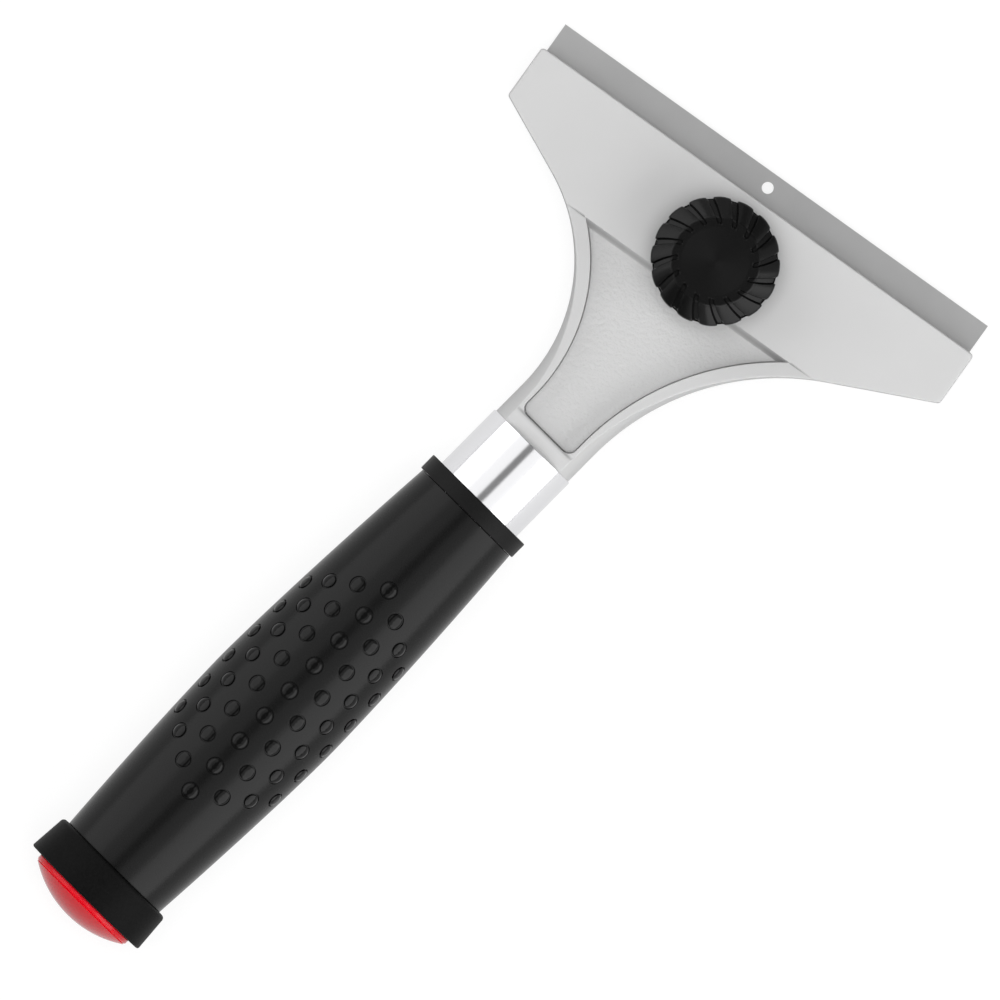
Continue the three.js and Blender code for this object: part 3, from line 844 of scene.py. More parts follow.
@dataclass
class CastHead:
    """Cast head: a jaw over the blade, a rim round a recessed web, the neck, and a spigot in the tube."""

    low: float = 4.7
    jaw_thickness: float = 7.0
    front_edge: float = 0.4
    fillet: float = 0.45
    neck_fillet: float = 0.3
    crease: float = -7.5
    neck_reach: float = 50.0
    neck_half: float = 6.4
    rim: float = 3.0
    bar: float = 3.4
    recess_depth: float = 3.5
    recess_run: float = 0.12
    crease_run: float = 1.3
    recess_corner: float = 2.0
    line_depth: float = 0.15
    line_width: float = 0.16
    line_reach: float = 3.8
    bar_line_width: float = 0.32
    bar_line_start: float = 1.0
    bar_line_reach: float = 2.8
    moat_place: float = 0.18
    moat_width: float = 0.065
    moat_depth: float = 0.22
    # Strength of the painted shade on the recess's walls and in the scored lines
    wall_shade_weight: float = 2.4
    line_shade_weight: float = 0.9
    hole_radius: float = 3.3
    hole_patch: float = 4.6
    spigot_root: float = 6.1
    spigot_radius: float = 8.6
    spigot_start: float = 51.2
    spigot_end: float = 78.0
    spigot_chamfer: float = 1.0
    low_edge_share: float = 0.5
    tip_reach: float = 1.0
    crease_reach: float = 0.4
    slope_reach: float = 1.8
    corner_reach: float = 2.4
    bar_reach: tuple[float, float] = (0.7, 0.4)
    row_steps: tuple[float, ...] = (0.08, 0.8, 0.1, 0.6, 0.05, 0.1, 0.5, 0.15, 0.05, 0.6)
    rim_columns: int = 5
    rim_side: tuple[float, ...] = (-0.3, -0.2, -0.1)
    wall_side_reach: float = 0.7
    wall_side_step: float = 0.06
    web_side: tuple[float, ...] = (0.75, 0.9, 1.2)
    web_columns: int = 64

    def build(self) -> None:
        """Make the casting and dress it."""
        add_piece("cast_head", self.solid(), SILVER_CASTING, "head_casting")

    def stations(self) -> Array:
        """Places of the rows along the handle's axis from the bolt, close together where edges run.

        Returns:
            Distances from the front of the jaw to the end of the neck.
        """
        lean = math.cos(math.radians(HANDLE.skew))
        front = -PLAN.jaw_front / lean
        tip = front + PLAN.jaw_end / lean
        crease = -self.crease / lean
        bar = self.neck_reach - self.bar
        ends = [
            front,
            front + PLAN.corner / lean,
            tip - self.tip_reach,
            tip + self.tip_reach,
            crease - self.crease_reach,
            crease + self.crease_reach,
            crease + self.slope_reach,
            bar - self.corner_reach,
            bar - self.bar_reach[0],
            bar + self.bar_reach[1],
            self.neck_reach,
        ]
        return spaced(ends, self.row_steps)

    def solid(self) -> Solid:
        """Loft of rows across the head. The rows turn from the blade's direction to square to the handle
        between the crease and the bar, while the section rises and thickens from the jaw's to the neck's.

        Returns:
            The closed surface, marked where the recess is and where shade is painted on its walls, the lines
            and the moat.
        """
        axis = HANDLE.axis()
        lean = math.cos(math.radians(HANDLE.skew))
        station = self.stations()
        crease = -self.crease / lean
        rise = np.clip((station - crease) / (self.neck_reach - self.bar - crease), 0.0, 1.0)
        turn = math.radians(HANDLE.skew) * rise
        rows = Rows(
            station[:, None] * np.array(axis.along[:2]), np.column_stack([np.cos(turn), -np.sin(turn)])
        )

        from_front = station * lean + PLAN.jaw_front
        cut = edge_drop(from_front, self.front_edge)
        pull = edge_drop(from_front, PLAN.corner)

        high = self.low + self.jaw_thickness - cut
        neck_high = HANDLE.height + self.neck_half
        top = high + (neck_high - high) * rise
        low = self.low + self.low_edge_share * cut + (HANDLE.height - self.neck_half - self.low) * rise
        half = (top - low) / 2.0
        fillet = self.fillet + (self.neck_fillet - self.fillet) * rise
        widths = [side.value * rows.meet(PLAN.outline(side, 0.0)) - pull for side in Side]
        left, right = (Section(width, half, fillet) for width in widths)

        across, inside = self.columns(rows, station, left.flat(), right.flat())
        plan = rows.plan(across)
        along = plan @ np.array(axis.along[:2])
        recess, moat = self.recess(inside, along, plan[..., 1])
        lines = self.scored_lines(inside, along, plan[..., 1])
        dip = self.recess_depth * recess + self.line_depth * lines + self.moat_depth * moat
        rings = section_rings(rows, left, right, across, top[:, None] - dip, low)
        hole_ends = (self.low + self.jaw_thickness, self.low)
        bore = [BoreRing(BoreShape.ROUND, self.hole_radius, height) for height in hole_ends]
        body = np.concatenate([rings, self.spigot_rings(rings[-1])])
        solid = pierced(body, across.shape[1], self.hole_patch, bore)

        # Painted shade: a darker colour on the recess's walls, in the scored lines and in the moat
        dull = self.wall_shade_weight * recess * (1.0 - recess) + self.line_shade_weight * lines + moat
        marks = {SILVER_CASTING.recess_mark: recess, SILVER_CASTING.wall_shade_mark: np.clip(dull, 0.0, 1.0)}
        place = np.arange(len(station))[:, None] * rings.shape[1] + np.arange(across.shape[1])
        for name, values in marks.items():
            solid.marks[name] = np.zeros(len(solid.points))
            solid.marks[name][place] = values
        return solid

    def columns(self, rows: Rows, station: Array, left: Array, right: Array) -> tuple[Array, Array]:
        """Columns of the top: few on the rims and many at the recess's side walls.

        Args:
            rows: The rows in plan.
            station: Place of each row along the handle.
            left: Distance of the flat top's left edge from each row's middle.
            right: Distance of its right edge.

        Returns:
            Distances of the columns to the right of the rows' middles, and how far each point lies inside the
            nearer side wall of the recess, measured square to that wall.
        """
        walls = [rows.meet(PLAN.outline(side, self.rim)) for side in Side]
        stretch = [np.sqrt(1.0 + np.gradient(wall, station) ** 2)[:, None] for wall in walls]
        wall_side = np.arange(0.0, self.wall_side_reach, self.wall_side_step)
        near = np.concatenate([self.rim_side, wall_side, self.web_side])
        left_wall = walls[0][:, None] + near * stretch[0]
        right_wall = walls[1][:, None] - near[::-1] * stretch[1]
        rim = np.linspace(0.0, 1.0, self.rim_columns + 1)[:-1]
        web = np.linspace(0.0, 1.0, self.web_columns + 2)[1:-1]
        left_rim = -left[:, None] + (left_wall[:, :1] + left[:, None]) * rim
        middle = left_wall[:, -1:] + (right_wall[:, :1] - left_wall[:, -1:]) * web
        right_rim = right[:, None] - (right[:, None] - right_wall[:, -1:]) * rim[::-1]
        across = np.concatenate([left_rim, left_wall, middle, right_wall, right_rim], axis=1)
        inside = np.minimum(
            (across - walls[0][:, None]) / stretch[0], (walls[1][:, None] - across) / stretch[1]
        )
        return across, inside

    def recess(self, inside: Array, along: Array, back: Array) -> tuple[Array, Array]:
        """Share of the recess's depth: an eased wall inside the side walls and the bar, whose corners are
        round, and a sloping wall behind the crease; the shallower of the two holds. A fine moat, a bell curve
        across, follows the foot of the eased wall.

        Args:
            inside: Distance inside the nearer side wall.
            along: Distance along the handle.
            back: The Y coordinate.

        Returns:
            Shares of the recess's depth and of the moat's, from 0 to 1.
        """
        from_bar = self.neck_reach - self.bar - along
        over_side = self.recess_corner - inside
        over_bar = self.recess_corner - from_bar
        rounded = np.hypot(np.maximum(over_side, 0.0), np.maximum(over_bar, 0.0))
        depth_in = self.recess_corner - rounded - np.minimum(np.maximum(over_side, over_bar), 0.0)
        walls = smoothstep(depth_in / self.recess_run)
        slope = np.clip((self.crease - back) / self.crease_run, 0.0, 1.0)
        moat = np.exp(-(((depth_in - self.moat_place) / self.moat_width) ** 2)) * (slope == 1.0)
        return np.minimum(walls, slope), moat

    def scored_lines(self, inside: Array, along: Array, back: Array) -> Array:
        """Fine lines along the bar's edge and, past the recess's corner, along the crease: bell curves across
        the line, fading out over the rim.

        Args:
            inside: Distance inside the nearer side wall.
            along: Distance along the handle.
            back: The Y coordinate.

        Returns:
            Shares of the lines' depth.
        """
        outside = np.maximum(-inside, 0.0)
        crease = np.exp(-(((back - self.crease) / self.line_width) ** 2))
        bar = np.exp(-(((along - self.neck_reach + self.bar) / self.bar_line_width) ** 2))
        fade = smoothstep(1.0 - outside / self.line_reach) * (inside < 0.0)
        past_start = np.maximum(self.bar_line_start - inside, 0.0)
        bar_fade = smoothstep(1.0 - past_start / self.bar_line_reach)
        return np.maximum(crease * fade, bar * bar_fade)

    def spigot_rings(self, neck: Array) -> Array:
        """Rings that turn the neck's end into the spigot, each point at the angle of the neck's own point.

        Args:
            neck: The neck's last ring.

        Returns:
            Points of the rings.
        """
        axis = HANDLE.axis()
        outward = neck - axis.place(np.array(self.neck_reach), np.array(0.0), np.array(0.0))
        angle = np.arctan2(outward @ np.array(axis.right), outward @ np.array(axis.up))
        profile = np.array([
            (self.spigot_root, self.neck_reach),
            (self.spigot_root, self.spigot_start),
            (self.spigot_radius, self.spigot_start),
            (self.spigot_radius, self.spigot_end - self.spigot_chamfer),
            (self.spigot_radius - self.spigot_chamfer, self.spigot_end),
        ])
        return turned(axis, profile[:, :1], profile[:, 1:], angle)


@dataclass
class BladeClamp:
    """Clamp under the jaw: a plate with a stop behind the blade, and a square-necked bolt with a thread."""

    plate_thickness: float = 4.0
    plate_setback: float = 0.5
    plate_inset: float = 1.2
    plate_chamfer: float = 2.5
    heel: float = 8.0
    heel_high: float = 4.6
    stop: float = 4.4
    fillet: float = 0.3
    gap: float = 0.3
    patch: float = 7.2
    stop_run: float = 0.02
    tip_reach: float = 2.0
    row_steps: tuple[float, ...] = (0.05, 0.3, 0.8, 0.02, 0.15, 0.5, 0.05)
    columns: int = 96
    bolt_radius: float = 3.0
    head_radius: float = 6.0
    head_rim: float = 0.6
    head_height: float = 1.8
    head_edge: float = 0.12
    cone_steps: int = 7
    neck_half: float = 3.2
    bolt_end: float = 20.8
    end_chamfer: float = 0.5
    thread_pitch: float = 1.0
    thread_depth: float = 0.3
    thread_steps: int = 10

    def build(self) -> None:
        """Make the plate and the bolt and dress them."""
        add_piece("rear_jaw_plate", self.plate(), SILVER_CASTING, "clamp_plate")
        add_piece("square_neck_bolt", self.bolt(), ZINC_PLATE, "clamp_bolt")

    def plate(self) -> Solid:
        """Loft of rows along the blade, inside the head's outline: chamfered under the front, stepped up at
        the stop, and pierced by a countersunk square hole.

        Returns:
            The closed surface.
        """
        front = PLAN.jaw_front - self.plate_setback
        tip = PLAN.jaw_front - PLAN.jaw_end
        ends = [
            -front,
            -front + self.fillet,
            -front + self.plate_chamfer + self.fillet,
            -self.stop - self.stop_run,
            -self.stop,
            -tip + self.tip_reach,
            self.heel - self.fillet,
            self.heel,
        ]
        back = spaced(ends, self.row_steps)
        rows = Rows(np.column_stack([np.zeros_like(back), -back]), np.tile([1.0, 0.0], (len(back), 1)))
        cut = edge_drop(np.minimum(back + front, self.heel - back), self.fillet)
        top = np.where(back < -self.stop, self.plate_thickness, self.heel_high) - cut
        low = np.clip(self.plate_chamfer - (back + front), 0.0, None)
        low = np.maximum(low, cut)
        half = (top - low) / 2.0
        widths = [side.value * rows.meet(PLAN.outline(side, self.plate_inset)) - cut for side in Side]
        left, right = (Section(width, half, np.full_like(width, self.fillet)) for width in widths)
        share = np.linspace(0.0, 1.0, self.columns)
        across = -left.flat()[:, None] + (left.flat() + right.flat())[:, None] * share
        heights = np.broadcast_to(top[:, None], across.shape)
        rings = section_rings(rows, left, right, across, heights, low)
        return pierced(rings, self.columns, self.patch, self.plate_bore())

    def plate_bore(self) -> list[BoreRing]:
        """The plate's hole: square round the bolt's neck down to where the square's corners meet the head's
        cone, then along that cone, then straight, all of it clear of the bolt by a gap.

        Returns:
            The hole's rings from the top down.
        """
        square = self.neck_half + self.gap
        corner = square * math.sqrt(2.0)
        wide = self.head_radius + self.gap
        sunk = self.head_rim + self.gap
        slope = (self.head_radius - self.bolt_radius) / (self.head_height - self.head_rim)
        cone_top = sunk + (wide - corner) / slope
        return [
            BoreRing(BoreShape.SQUARE, square, self.heel_high),
            BoreRing(BoreShape.SQUARE, square, cone_top),
            BoreRing(BoreShape.ROUND, corner, cone_top),
            BoreRing(BoreShape.ROUND, wide, sunk),
            BoreRing(BoreShape.ROUND, wide, 0.0),
        ]

    def bolt(self) -> Solid:
        """Rings up the bolt. Below the plate's top the radius is the larger of the head's cone and the square
        neck; above it the radius dips between the turns of a helix, which climbs one pitch a turn.

        Returns:
            The closed surface.
        """
        angle = around(ROUND_COLUMNS)
        head = rounded_path([
            (0.0, 0.0, 0.0),
            (self.head_radius, 0.0, self.head_edge),
            (self.head_radius, self.head_rim, self.head_edge),
            (self.bolt_radius, self.head_height, 0.0),
        ])[1:]
        share = np.linspace(0.0, 1.0, self.cone_steps + 1)[1:, None]
        cone = head[-2] + (head[-1] - head[-2]) * share
        head = np.concatenate([head[:-1], cone, [(self.bolt_radius, self.plate_thickness)]])
        square = self.neck_half / np.maximum(np.abs(np.sin(angle)), np.abs(np.cos(angle)))
        square = np.minimum(square, self.head_radius)
        neck = np.where(head[:, 1:] >= self.head_rim, np.maximum(head[:, :1], square), head[:, :1])

        length = self.bolt_end - self.plate_thickness
        steps = math.ceil(length / self.thread_pitch * self.thread_steps)
        high = np.linspace(self.plate_thickness, self.bolt_end, steps + 1)[:, None]
        turns = high / self.thread_pitch - angle / (2.0 * np.pi)
        dip = 0.5 - 0.5 * np.cos(2.0 * np.pi * turns)
        shank = self.bolt_radius - self.thread_depth * dip
        shank = np.minimum(shank, self.bolt_radius - self.end_chamfer + self.bolt_end - high)
        radius = np.concatenate([neck, shank])
        height = np.concatenate([head[:, 1:], high])
        return lofted(turned(BOLT_AXIS, radius, height, angle))


@dataclass
class ClampKnob:
    """Moulded knob with a swirl of narrow grooves between broad lobes, and a washer under it."""

    low: float = 12.8
    height: float = 12.0
    radius: float = 12.5
    foot_radius: float = 7.0
    foot: float = 0.5
    top_radius: float = 8.6
    top_edge: float = 0.5
    brow: float = 21.3
    brow_edge: float = 0.9
    base_edge: float = 0.4
    dish: float = 0.45
    dish_radius: float = 6.6
    dish_rounding: float = 0.8
    dish_brink: float = 0.02
    profile_step: float = 0.2
    hole_radius: float = 3.3
    hole_high: float = 22.3
    pocket_radius: float = 4.8
    pocket_high: float = 21.1
    flutes: int = 16
    flute_share: float = 0.27
    flute_wall: float = 0.07
    flute_depth: float = 0.6
    flute_phase: float = 18.0
    flute_start: float = 7.2
    flute_ramp: float = 0.25
    swirl: float = 12.0
    crown: float = 0.14
    crown_ramp: float = 1.2
    lobe_start: float = 0.6
    floor_columns: int = 3
    wall_columns: int = 7
    lobe_columns: int = 6
    washer_radius: float = 7.0
    washer_bore: float = 3.3
    washer_low: float = 11.7
    washer_high: float = 12.7
    washer_edge: float = 0.15

    def build(self) -> None:
        """Make the knob and its washer and dress them with the insert."""
        add_piece("fluted_knob", self.knob(), KNOB_PLASTIC, "knob")
        washer = sleeve_corners(
            self.washer_bore,
            (self.washer_radius, self.washer_low, self.washer_edge),
            (self.washer_radius, self.washer_high, self.washer_edge),
        )
        add_piece("plain_washer", turned_profile(BOLT_AXIS, washer, True), ZINC_PLATE, "knob_washer")
        dress_node("knob_insert", TURNED_BRASS)

    def profile(self) -> Array:
        """Half section from the bottom edge over the flank to the middle of the top, in short steps.

        Returns:
            Radius and height of each point.
        """
        top = self.low + self.height
        path = rounded_path([
            (self.foot_radius, self.low + self.foot, 0.0),
            (self.radius, self.low + self.foot, self.base_edge),
            (self.radius, self.brow, self.brow_edge),
            (self.top_radius, top, self.top_edge),
            (self.dish_radius, top - self.dish_brink, self.dish_rounding),
            (AXIS_GAP, top - self.dish, 0.0),
        ])
        run = np.concatenate([[0.0], np.cumsum(np.linalg.norm(np.diff(path, axis=0), axis=1))])
        fine = np.unique(np.concatenate([run, np.arange(0.0, run[-1], self.profile_step)]).round(4))
        return np.column_stack([np.interp(fine, run, path[:, k]) for k in range(2)])

    def knob(self) -> Solid:
        """The outer profile is pushed in along its normal: by a groove with eased walls, once in each pitch,
        and a little by the square of the distance from a lobe's middle. The grooves turn as they run out.

        Returns:
            The closed surface, with the stepped hole from below.
        """
        outer = self.profile()
        tangent = np.gradient(outer, axis=0)
        tangent /= np.linalg.norm(tangent, axis=1, keepdims=True)
        normal = np.column_stack([tangent[:, 1], -tangent[:, 0]])

        half = self.flute_share / 2.0
        walls = half + self.flute_wall * np.linspace(-0.5, 0.5, self.wall_columns)
        lobe = np.linspace(half + self.lobe_start * self.flute_wall, 0.5, self.lobe_columns + 1)[1:]
        floor = np.linspace(0.0, walls[0], self.floor_columns + 1)[:-1]
        side = np.concatenate([floor, walls, lobe])
        pitch = np.concatenate([-side[-2:0:-1], side])
        share = (np.arange(self.flutes)[:, None] + pitch).ravel() / self.flutes
        off = np.tile(pitch, self.flutes)
        groove = smoothstep((half + self.flute_wall / 2.0 - np.abs(off)) / self.flute_wall)
        belly = ((0.5 - np.abs(off)) / (0.5 - half)) ** 2

        on_top = np.arange(len(outer)) > np.argmax(outer[:, 1] >= self.brow)
        reach = np.where(on_top, smoothstep((outer[:, 0] - self.flute_start) / self.flute_ramp), 1.0)
        reach[outer[:, 0] <= self.foot_radius] = 0.0
        past_edge = outer[:, 0] - self.top_radius + self.top_edge
        crown = np.where(on_top, smoothstep(past_edge / self.crown_ramp), 1.0)
        crown[0] = 0.0
        push = self.flute_depth * groove * reach[:, None]
        push += self.crown * np.minimum(belly, 1.0) * crown[:, None]
        radius = outer[:, :1] - push * normal[:, :1]
        height = outer[:, 1:] - push * normal[:, 1:]

        out = (outer[:, 0] - self.flute_start) / (self.radius - self.flute_start)
        swirl = math.radians(self.swirl) * (np.clip(out, 0.0, 1.0) - 1.0)
        angle = np.pi / 2.0 - (2.0 * np.pi * share + math.radians(self.flute_phase) + swirl[:, None])
        skin = turned(BOLT_AXIS, radius, height, angle)
        hole = np.array([
            (self.hole_radius, self.hole_high),
            (self.hole_radius, self.pocket_high),
            (self.pocket_radius, self.pocket_high),
            (self.pocket_radius, self.low),
            (self.foot_radius, self.low),
        ])
        inner = turned(BOLT_AXIS, hole[:, :1], hole[:, 1:], angle[0])
        return lofted(np.concatenate([inner, skin]))


@dataclass
class TubeHandle:
    """Chromed tube with a collar, a studded rubber grip, an end ring and a domed cap, from front to back."""

    tube_start: float = 50.02
    tube_end: float = 172.0
    tube_radius: float = 10.1
    tube_bore: float = 8.9
    tube_edge: float = 0.15
    sleeve_bore: float = 10.4
    collar_start: float = 64.5
    collar_end: float = 68.0
    collar_radius: float = 12.3
    collar_edge: float = 0.2
    grip_start: float = 68.02
    grip_end: float = 164.2
    grip_edge: float = 0.12
    belly_from_front: float = 52.18
    belly_wall: float = 3.8
    front_wall: float = 1.35
    rear_wall: float = 1.8
    taper_power: float = 1.5
    stud_columns: int = 16
    longest_column: int = 9
    stud_pitch: float = 6.84
    stud_middle: float = 47.88
    stud_height: float = 0.36
    crown_radius: float = 0.8
    crown_drop: float = 0.02
    crown_rounding: float = 1.2
    shoulder_radius: float = 1.4
    shoulder_height: float = 0.12
    foot_radius: float = 1.45
    groove_radius: float = 1.72
    groove_draft: float = 0.06
    groove_depth: float = 0.25
    groove_lip: float = 0.15
    stud_rounding: float = 0.05
    stud_steps: int = 3
    stud_middle_share: float = 0.04
    ring_start: float = 164.22
    ring_end: float = 172.2
    ring_front: float = 13.65
    ring_rear: float = 14.25
    ring_edge: float = 0.8
    cap_start: float = 172.22
    cap_end: float = 177.0
    cap_radius: float = 11.8
    cap_rim_edge: float = 0.25
    cap_flange: float = 1.2
    cap_flange_edge: float = 0.5
    cap_line: float = 0.12
    dome_radius: float = 11.55
    dome_steps: int = 24
    dome_middle_share: float = 0.02
    plug_radius: float = 8.6
    plug_length: float = 13.82
    plug_chamfer: float = 0.8
    edge_step: float = 0.03
    plain_step: float = 1.0
    columns_per_stud: int = 10
    rows_per_pitch: int = 12
    patch_reach: int = 4

    def build(self) -> None:
        """Make the pieces from front to back and dress them with the hidden pin."""
        axis = HANDLE.axis()
        tube = sleeve_corners(
            self.tube_bore,
            (self.tube_radius, self.tube_start, self.tube_edge),
            (self.tube_radius, self.tube_end, self.tube_edge),
        )
        collar = sleeve_corners(
            self.sleeve_bore,
            (self.collar_radius, self.collar_start, self.collar_edge),
            (self.collar_radius, self.collar_end, self.collar_edge),
        )
        ring = sleeve_corners(
            self.sleeve_bore,
            (self.ring_front, self.ring_start, self.ring_edge),
            (self.ring_rear, self.ring_end, self.ring_edge / 2.0),
        )
        add_piece("chromed_tube", turned_profile(axis, tube, True), CHROME_PLATE, "shank_tube")
        add_piece("grip_collar", turned_profile(axis, collar, True), COLLAR_PLASTIC, "front_collar")
        add_piece("studded_grip", self.grip(axis), GRIP_RUBBER, "grip_sleeve")
        add_piece("grip_end_ring", turned_profile(axis, ring, True), RING_PLASTIC, "end_ring")
        add_piece("domed_end_cap", turned_profile(axis, self.cap_profile(), False), GLOSS_RED, "end_cap")
        dress_node("shank_pin", ZINC_PLATE)

    def cap_profile(self) -> list[Corner]:
        """Half section of the cap: a plug, a rounded flange, a fine line and a dome that is part of a sphere.

        Returns:
            Radius, distance along and rounding of each corner.
        """
        plug_start = self.cap_start - self.plug_length
        foot = self.cap_start + self.cap_flange + self.cap_line
        rise = self.cap_end - foot
        sphere = (self.dome_radius**2 + rise**2) / (2.0 * rise)
        share = np.linspace(1.0, self.dome_middle_share, self.dome_steps)
        lean = share * math.asin(self.dome_radius / sphere)
        along = self.cap_end - sphere * (1.0 - np.cos(lean))
        dome = np.column_stack([sphere * np.sin(lean), along, np.zeros_like(lean)])
        return [
            (AXIS_GAP, plug_start, 0.0),
            (self.plug_radius - self.plug_chamfer, plug_start, 0.0),
            (self.plug_radius, plug_start + self.plug_chamfer, 0.0),
            (self.plug_radius, self.cap_start, 0.0),
            (self.cap_radius, self.cap_start, self.cap_rim_edge),
            (self.cap_radius, foot - self.cap_line, self.cap_flange_edge),
            (self.dome_radius - self.cap_line, foot - self.cap_line, 0.0),
            *map(tuple, dome.tolist()),
        ]

    def grip_radius(self, along: Array) -> Array:
        """Radius of the smooth grip: it falls from the belly with a power of the distance, to the end walls.

        Args:
            along: Distances along the handle.

        Returns:
            Radii.
        """
        from_belly = along - self.grip_start - self.belly_from_front
        rear_span = self.grip_end - self.grip_start - self.belly_from_front
        span = np.where(from_belly < 0, self.belly_from_front, rear_span)
        end_wall = np.where(from_belly < 0, self.front_wall, self.rear_wall)
        taper = (np.abs(from_belly) / span) ** self.taper_power
        return self.sleeve_bore + self.belly_wall - (self.belly_wall - end_wall) * taper

    def stud_places(self) -> tuple[Array, Array]:
        """Places of the studs. A column has one stud less for each column away from the top or the bottom of
        the grip, and the two columns at its sides have none.

        Returns:
            Each stud's column round the grip, and its distance from the middle of its column in pitches.
        """
        column = np.arange(self.stud_columns)
        from_top = np.minimum(column, self.stud_columns - column)
        from_side = np.abs(from_top - self.stud_columns // 4)
        count = np.where(from_side > 0, self.longest_column - self.stud_columns // 4 + from_side, 0)
        order = np.arange(count.sum()) - np.repeat(np.cumsum(count) - count, count)
        return np.repeat(column, count), order - np.repeat((count - 1) / 2.0, count)

    def stud_profile(self) -> Array:
        """Section of a stud from outside to its middle: down into the groove round it, across the groove's
        floor, up a steep flank to the shoulder, up a bevel and over a low crown.

        Returns:
            Distance from the stud's own axis and height above the smooth grip, of each point.
        """
        edge = self.stud_rounding
        corners = [
            (self.groove_radius + self.groove_lip, 0.0, 0.0),
            (self.groove_radius, 0.0, edge),
            (self.groove_radius - self.groove_draft, -self.groove_depth, edge),
            (self.foot_radius, -self.groove_depth, edge),
            (self.shoulder_radius, self.shoulder_height, edge),
            (self.crown_radius, self.stud_height - self.crown_drop, self.crown_rounding),
            (self.stud_middle_share * self.crown_radius, self.stud_height, 0.0),
        ]
        return rounded_path(corners, steps=self.stud_steps)

    def grip(self, axis: Axis) -> Solid:
        """Rings of the smooth grip, and rings at the bore that close it. A patch of faces round each stud is
        left out; its border is joined to the stud's rings, which are the stud's section carried round the
        stud's own axis and bent over the grip.

        Args:
            axis: The handle's axis.

        Returns:
            The closed surface, marked where it is stud.
        """
        step = self.stud_pitch / self.rows_per_pitch
        half = math.ceil(self.longest_column * self.rows_per_pitch / 2) * step
        middle = self.grip_start + self.stud_middle
        ends = [
            self.grip_start,
            self.grip_start + self.grip_edge,
            middle - half,
            middle + half,
            self.grip_end - self.grip_edge,
            self.grip_end,
        ]
        along = spaced(ends, (self.edge_step, self.plain_step, step, self.plain_step, self.edge_step))
        angle = around(self.stud_columns * self.columns_per_stud)
        from_end = np.minimum(along - self.grip_start, self.grip_end - along)
        smooth = self.grip_radius(along) - edge_drop(from_end, self.grip_edge)
        radius = np.append(smooth, [self.sleeve_bore, self.sleeve_bore])[:, None]
        ring_place = np.append(along, [self.grip_end, self.grip_start])[:, None]
        sleeve = lofted(turned(axis, radius, ring_place, angle), joined=True)

        stud_column, offset = self.stud_places()
        column = (stud_column * self.columns_per_stud)[:, None]
        row = np.argmin(np.abs(along - middle)) + np.rint(offset * self.rows_per_pitch).astype(int)[:, None]
        cells = np.arange(-self.patch_reach, self.patch_reach)
        keep = np.ones((len(radius), len(angle)), bool)
        keep[row[..., None] + cells[:, None], (column[..., None] + cells) % len(angle)] = False

        side = np.full(len(cells), self.patch_reach)
        down = np.concatenate([-side, cells, side, -cells])
        over = np.concatenate([cells, side, -cells, -side])
        border = (row + down) * len(angle) + (column + over) % len(angle)

        near = self.grip_radius(along[row])
        way = np.arctan2(over * angle[1] * near, down * step)[:, None]
        away, height = self.stud_profile().T[:, :, None]
        stud_along = along[row][..., None] + away * np.cos(way)
        stud_angle = angle[column][..., None] + away * np.sin(way) / near[..., None]
        studs = turned(axis, self.grip_radius(stud_along) + height, stud_along, stud_angle)
        on_stud = np.broadcast_to(away < self.foot_radius, studs.shape[:3]).ravel()
        index = len(sleeve.points) + np.arange(studs[..., 0].size).reshape(studs.shape[:3])
        loops = np.concatenate([border[:, None], index], axis=1)
        outer, inner = loops[:, :-1], loops[:, 1:]
        strips = np.stack([outer, np.roll(outer, -1, axis=2), np.roll(inner, -1, axis=2), inner], axis=-1)
        return Solid(
            np.concatenate([sleeve.points, studs.reshape(-1, 3)]),
            np.concatenate([sleeve.quads[keep.ravel()], strips.reshape(-1, 4)]),
            loops[:, -1].tolist(),
            {GRIP_RUBBER.stud_mark: np.append(np.zeros(len(sleeve.points)), on_stud)},
        )


# Studio


